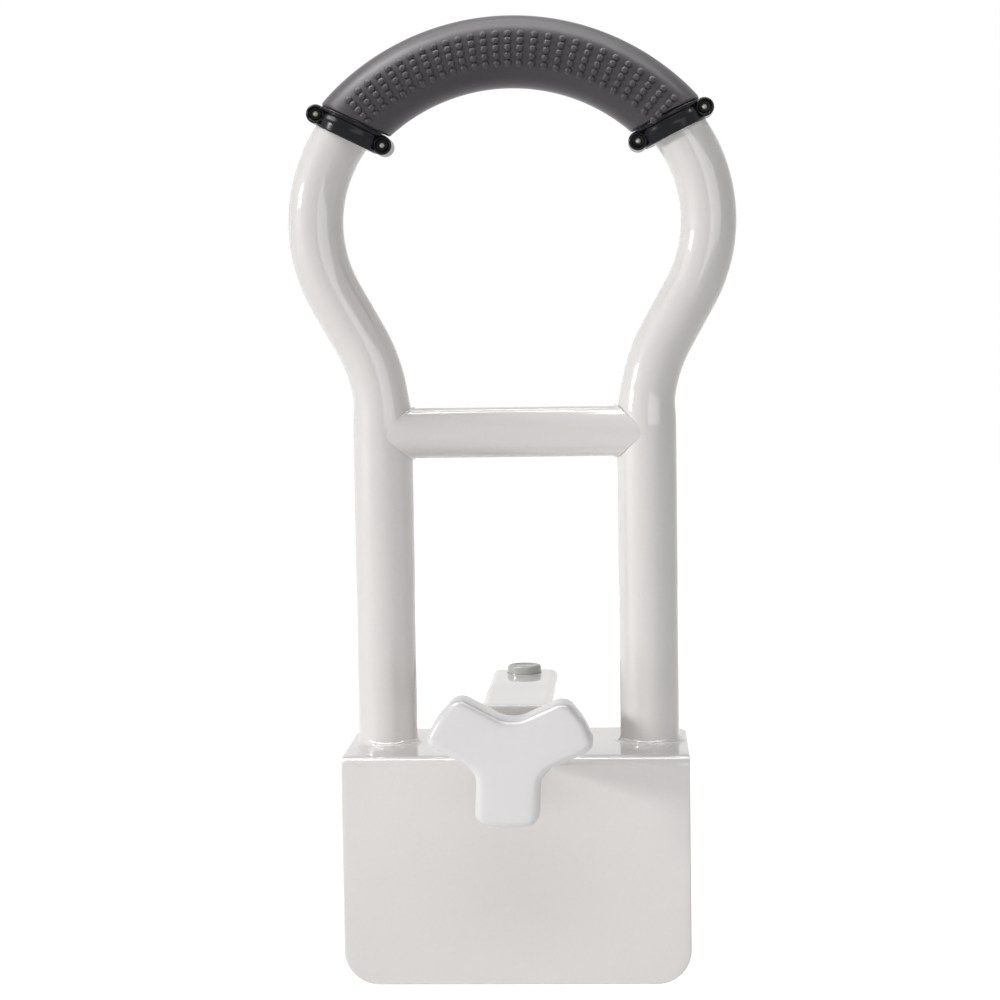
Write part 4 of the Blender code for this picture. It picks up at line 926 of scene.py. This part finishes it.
def make_guide_screw(side, place):
    """Shoulder screw with a hexagonal socket, through an ear into the slide's slot."""
    seat, crown, end = 20.9, 23.4, 14.2
    profile = [
        (0, crown - 1.4, 0, 1), (2, crown - 1.25, 0, 1), (2, crown - 0.15, 0, 1), (2.35, crown, 0, 0),
        (4.5, crown, 0.7, 0), (4.5, seat, 0.15, 0), (2.5, seat, 0, 0), (2.5, end + 0.3, 0, 0),
        (2.2, end, 0, 0), (0, end, 0, 0),
    ]
    return piece(turned(profile, guide_frame(place, side), 60, 3))


# ---- slide

def channel_rings(rows, half, foot, roof, radius, top):
    """Rings of a rectangular section drawn in by a depth, a row for each (depth, y)."""
    rings = []
    for depth, y in rows:
        section = rectangle(-half + depth, half - depth, foot + depth, roof - depth, radius - depth, top=top - depth)
        rings.append(on_axis("Y", *section.T, y))
    return np.array(rings)


def make_slide_housing():
    """Channel: its section carried from a rounded front to the rear, and back inside its walls."""
    front, rear, wall, edge, small = FACE + 14, FACE + 132, 2, 1.2, 0.35
    turn = quarter_turn(6)
    inward, back = 1 - np.sin(turn), 1 - np.cos(turn)
    rows = [
        *zip(edge * inward, front + edge * back),
        *zip(small * back[::2], rear - small * inward[::2]),
        *zip(wall - small * inward[::2], rear - small * back[::2]),
        (wall, front + wall),
    ]
    housing = piece(skin(channel_rings(rows, 17, SLIDE_FOOT, SLIDE_ROOF, 3, 4.5), lids=True))
    mouth = rectangle(-10, 10, front + wall, rear + 6, 1)
    cutters = [slab(mouth, SLIDE_FOOT - 5, SLIDE_FOOT + 3, "Z", 0.05, 1)]
    for place in GUIDE_PLACES:
        slot = rectangle(FACE + place - 11.8, FACE + place + 5.8, GUIDE_Z - 2.8, GUIDE_Z + 2.8, 2.79, 14)
        cutters.append(slab(slot, -22, 22, "X", 0.05, 1))
    cutters.append(rod(8.7, SLIDE_ROOF - 3, SLIDE_ROOF + 5, AT_LATCH, 96))
    cutters.append(rod(4.6, 9, 21, AT_SPINDLE))
    return soften(carve(housing, *cutters))


def make_draw_nut():
    outline = rectangle(-8, 8, SPINDLE_Z - 8, SPINDLE_Z + 8, 1)
    nut = piece(slab(outline, FACE + 16.3, FACE + 24.3, "Y", 0.5))
    return carve(nut, rod(4.3, 10, 30, AT_SPINDLE))


def make_arm_glide(side):
    middle = ARM_FOOT + 6.5
    outline = rectangle(FACE + 63, FACE + 129, middle - 4.5, middle + 4.5, 2)
    return piece(slab(outline, *sorted((side * 14.7, side * 13.3)), "X", 0.4))


def make_release_button():
    """Round button: a turned cap with a shallow dish, hollow underneath for its spring."""
    top, roof, bottom = BUTTON_TOP, BUTTON_TOP - BUTTON_WALL, SLIDE_ROOF - 1.2
    profile = [
        (0, top - 0.5, 0), (5.6, top - 0.5, 2), (6.6, top, 0.5), (8.4, top, 1.25), (8.4, bottom, 0.2),
        (6.9, bottom, 0.2), (6.9, roof, 0.4), (4, roof, 0.2), (4, roof - 1.5, 0), (2.8, roof - 1.5, 0),
        (2.8, roof, 0), (0, roof, 0),
    ]
    return piece(turned(profile, AT_LATCH, 96, 5))


def make_latch_pin():
    roof, top = BUTTON_TOP - BUTTON_WALL - GAP, CUP_FOOT - GAP
    bottom = top - 2.2
    profile = [
        (0, roof, 0), (2.5, roof, 0.2), (2.5, top, 0), (4, top, 0.15), (4, bottom, 0.5), (0, bottom, 0),
    ]
    return piece(turned(profile, AT_LATCH, 60, 3))


def make_button_cup():
    top, floor = SLIDE_ROOF - 2.3, CUP_FOOT + 0.8
    profile = [
        (11, top, 0.2), (11, CUP_FOOT, 0.3), (2.8, CUP_FOOT, 0), (2.8, floor, 0), (9.2, floor, 0.3), (9.2, top, 0.2),
    ]
    return piece(turned(profile, AT_LATCH, 80, 3, loop=True))


def make_button_spring():
    """Coil of four turns: a helix whose wire is swept round it."""
    turn = np.linspace(0, 8 * math.pi, 241)
    outward = grid(np.cos(turn), np.sin(turn), 0 * turn)
    path = outward * 6 + [0, LATCH_Y, 0]
    path[:, 2] = np.linspace(SPRING_LOW, SPRING_HIGH, 241)
    return piece(swept(path, outward, 0.3, 12), sharp=60)


# ---- jaw

def make_jaw_arm():
    """Rectangular tube, its section carried out along it and back inside, with the latch row cut."""
    front, rear, wall, small = FACE + 38.5, FACE + 131, 2, 0.3
    rows = [
        (small, front), (0, front + small), (0, rear - small), (small, rear),
        (wall - small, rear), (wall, rear - small), (wall, front + small), (wall - small, front),
    ]
    arm = piece(skin(channel_rings(rows, 13, ARM_FOOT, ARM_ROOF, 2.6, 2.6), loop=True))
    return soften(carve(arm, slab(latch_outline(), ARM_ROOF - 3, ARM_ROOF + 5, "Z", 0.001, 1)), 0.2)


def latch_outline():
    """Slot with a round pocket at each setting: arcs on one side, mirrored on the other.

    Each arc runs between the slot's sides, but the row's two end arcs run on to its middle line.
    """
    radius, half, pitch, pockets = 4.3, 2.8, 9, 7
    stop = np.full(pockets, math.pi / 2 - math.asin(half / radius))
    start = -stop
    stop[0], start[-1] = math.pi / 2, -math.pi / 2
    turn = stop[:, None] + (start - stop)[:, None] * np.linspace(0, 1, 15)
    centre = (LATCH_Y - pitch * np.arange(pockets))[:, None]
    right = np.stack([radius * np.cos(turn), centre + radius * np.sin(turn)], -1).reshape(-1, 2)
    left = right[::-1] * [-1, 1]
    return np.concatenate([right, left[1:-1]])[::-1]


def make_arm_end_cap():
    start = FACE + 131.3
    face = rectangle(-13, 13, ARM_FOOT, ARM_ROOF, 2.5)
    plug = rectangle(-10.7, 10.7, ARM_FOOT + 2.3, ARM_ROOF - 2.3, 1)
    cap = piece(slab(face, start, start + 2.5, "Y", 0.8))
    return combine(cap, ("UNION", slab(plug, FACE + 126.5, start + 1, "Y", 0.3)))


def make_rear_jaw():
    shoulder, top = DECK - 12, ARM_FOOT - GAP
    outline = rounded([
        (-55, FOOT, 12), (55, FOOT, 12), (55, shoulder, 7.2), (9, shoulder, 5),
        (9, top, 0.5), (-9, top, 0.5), (-9, shoulder, 5), (-55, shoulder, 7.2),
    ], 14)
    return piece(slab(outline, FACE + 86, FACE + 89, "Y", 0.6))


def make_jaw_gusset():
    start, top = FACE + 89.3, ARM_FOOT - GAP
    outline = rounded([
        (start, top - 62, 0.6), (start + 5, top - 62, 3), (start + 36, top - 5, 3), (start + 36, top, 0.6),
        (start, top, 0.6),
    ], 8)
    return piece(slab(outline, -2, 2, "X", 0.5))


# ---- assembly

def build_object():
    """Every piece: its CAD node, its shape, its body and its finish."""
    finish("clamp_body", make_clamp_body(), PAINT)
    finish("frame_tube", make_frame_tube(), PAINT)
    finish("crossbar", make_crossbar(), PAINT)
    finish("grip_sleeve", make_grip(), SOFT)
    finish("front_pad", make_upright_pad(70, DECK - 14, FACE + 3.3), RUBBER)
    finish("rim_pad", make_rim_pad(), RUBBER)
    for side, word in ((-1, "left"), (1, "right")):
        finish(f"base_weld_{word}", make_base_weld(side), PAINT)
        for end in ("front", "rear"):
            finish(f"collar_{word}_{end}", make_collar_half(side, end), BLACK)
        for place, end in ((-side, "inner"), (side, "outer")):
            finish(f"collar_screw_{word}_{end}", make_collar_screw(side, place), GLINTING_WORN_STEEL)
            finish(f"collar_nut_{word}_{end}", make_collar_nut(side, place), ZINC)
        for place, end in zip(GUIDE_PLACES, ("front", "rear")):
            finish(f"guide_screw_{word}_{end}", make_guide_screw(side, place), ZINC)
        finish(f"arm_glide_{word}", make_arm_glide(side), NYLON, "slide")
    finish("guide_bracket", make_guide_bracket(), PAINT)
    finish("spindle_bush", make_spindle_bush(), BRASS)
    finish("knob", make_knob(), PLASTIC, "hand_knob")
    finish("knob_insert", make_knob_insert(), BRASS, "hand_knob")
    finish("spindle", make_spindle(), ZINC, "hand_knob")
    finish("retaining_ring", make_retaining_ring(), STEEL, "hand_knob")
    finish("slide_housing", make_slide_housing(), PAINT, "slide")
    finish("draw_nut", make_draw_nut(), ZINC, "slide")
    finish("button_cup", make_button_cup(), NYLON, "slide")
    finish("jaw_arm", make_jaw_arm(), ZINC, "jaw")
    finish("arm_end_cap", make_arm_end_cap(), BLACK, "jaw")
    finish("rear_jaw", make_rear_jaw(), PAINT, "jaw")
    finish("jaw_gusset", make_jaw_gusset(), PAINT, "jaw")
    finish("rear_pad", make_upright_pad(50, DECK - 17, FACE + 81.7), RUBBER, "jaw")
    finish("release_button", make_release_button(), BUTTON_GREY, "button")
    finish("latch_pin", make_latch_pin(), ZINC, "button")
    spring = make_button_spring()
    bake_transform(spring)
    finish("button_spring", spring, ZINC, None)


# ---- studio

def aim(obj, place, target, roll=0.0):
    """Turns a camera or lamp at a place towards a target, then rolls its image."""
    place, target = Vector(place), Vector(target)
    ahead = (target - place).normalized()
    right = ahead.cross(Vector((0, 0, 1))).normalized()
    up = right.cross(ahead)
    across = right * math.cos(roll) + up * math.sin(roll)
    over = up * math.cos(roll) - right * math.sin(roll)
    obj.matrix_world = Matrix.Translation(place) @ Matrix((across, over, -ahead)).transposed().to_4x4()


def add_camera():
    """The camera of the photograph, as fitted to the rail's outline."""
    data = bpy.data.cameras.new("camera")
    camera = add_object("camera", data)
    data.sensor_width, data.lens, data.clip_start = 36, 90.176, 0.05
    place, target, roll = (0.05148677, -1.179, 0.20633294), (-0.00506133, -0.045, 0.12428075), -0.014633
    aim(camera, place, target, roll)
    bpy.context.scene.camera = camera


def add_lamp(
    name, azimuth, elevation, distance, width, height, radiance, level=RAIL_MIDDLE, lights=True, mirrored=True
):
    """Soft box hung round the rail: azimuth to the right of straight front, angles in degrees.

    It faces the rail at a level. Its power is its face's area times pi times its radiance.
    """
    data = bpy.data.lights.new(name, "AREA")
    data.shape = "RECTANGLE"
    data.size = 2 * distance * math.tan(math.radians(width) / 2)
    data.size_y = 2 * distance * math.tan(math.radians(height) / 2)
    data.energy = radiance * math.pi * data.size * data.size_y
    lamp = add_object(name, data)
    lamp.visible_camera, lamp.visible_diffuse, lamp.visible_glossy = False, lights, mirrored
    turn, rise = math.radians(azimuth), math.radians(elevation)
    out = Vector((math.sin(turn) * math.cos(rise), -math.cos(turn) * math.cos(rise), math.sin(rise)))
    aim(lamp, Vector((0, 0, RAIL_MIDDLE)) + out * distance, (0, 0, level))


def seen_white(tree, lit, level, blend):
    """Mixes a shader with plain white for camera, mirror and glass rays, by a share."""
    path = tree.nodes.new("ShaderNodeLightPath")
    glass = maths(tree, "MAXIMUM", path.outputs["Is Glossy Ray"], path.outputs["Is Transmission Ray"])
    either = maths(tree, "MAXIMUM", path.outputs["Is Camera Ray"], glass)
    white = add_node(tree, "Emission" if level else "Background", Color=(1, 1, 1, 1), Strength=level or 1.0)
    mix = add_node(tree, "MixShader", Fac=maths(tree, "MULTIPLY", either, blend))
    tree.links.new(lit.outputs[0], mix.inputs[1])
    tree.links.new(white.outputs[0], mix.inputs[2])
    return mix.outputs[0]


def add_studio():
    """White surroundings, a white floor under the rail and the lamps."""
    scene = bpy.context.scene
    scene.view_settings.view_transform = "Standard"
    world = bpy.data.worlds.new("studio")
    scene.world = world
    world.use_nodes = True
    tree = world.node_tree
    tree.nodes.clear()
    ambient = add_node(tree, "Background", Color=(1.0, 0.99, 0.985, 1), Strength=0.085)
    add_node(tree, "OutputWorld", Surface=seen_white(tree, ambient, None, 1.0))

    floor = piece(skin(grid(*np.meshgrid([-6000, 6000], [-6000, 6000]), FOOT - 0.1), around=False))
    floor.name = floor.data.name = "floor"
    material, tree, shader = new_material("floor")
    feed(tree, shader, {"Base Color": (0.9, 0.9, 0.9, 1), "Roughness": 0.9})
    tree.links.new(seen_white(tree, shader, 1.37, 0.7), tree.nodes["Material Output"].inputs["Surface"])
    floor.data.materials.append(material)

    add_lamp("key", -70, 12, 6.0, 12, 7, 60)
    add_lamp("panel", 30, 11.6, 1.6, 44, 22.6, 1.9, lights=False)
    add_lamp("overhead", 175, 78, 1.4, 40, 20, 2.2)
    add_lamp("high", 0, 50, 1.5, 50, 30, 1.7, mirrored=False)
    add_lamp("low", 0, -17, 0.45, 70, 16, 1.7, level=-0.35, mirrored=False)
    add_lamp("rear", 180, 4, 1.6, 44, 20, 4.0, mirrored=False)
    add_lamp("top_left", -75, 55, 1.5, 30, 24, 9, lights=False)
    add_lamp("rear_strip", 180, 69, 1.4, 60, 3, 10, lights=False)
    add_lamp("front_strip", 0, 86, 1.4, 80, 7, 18, lights=False)


build_object()
add_studio()
add_camera()
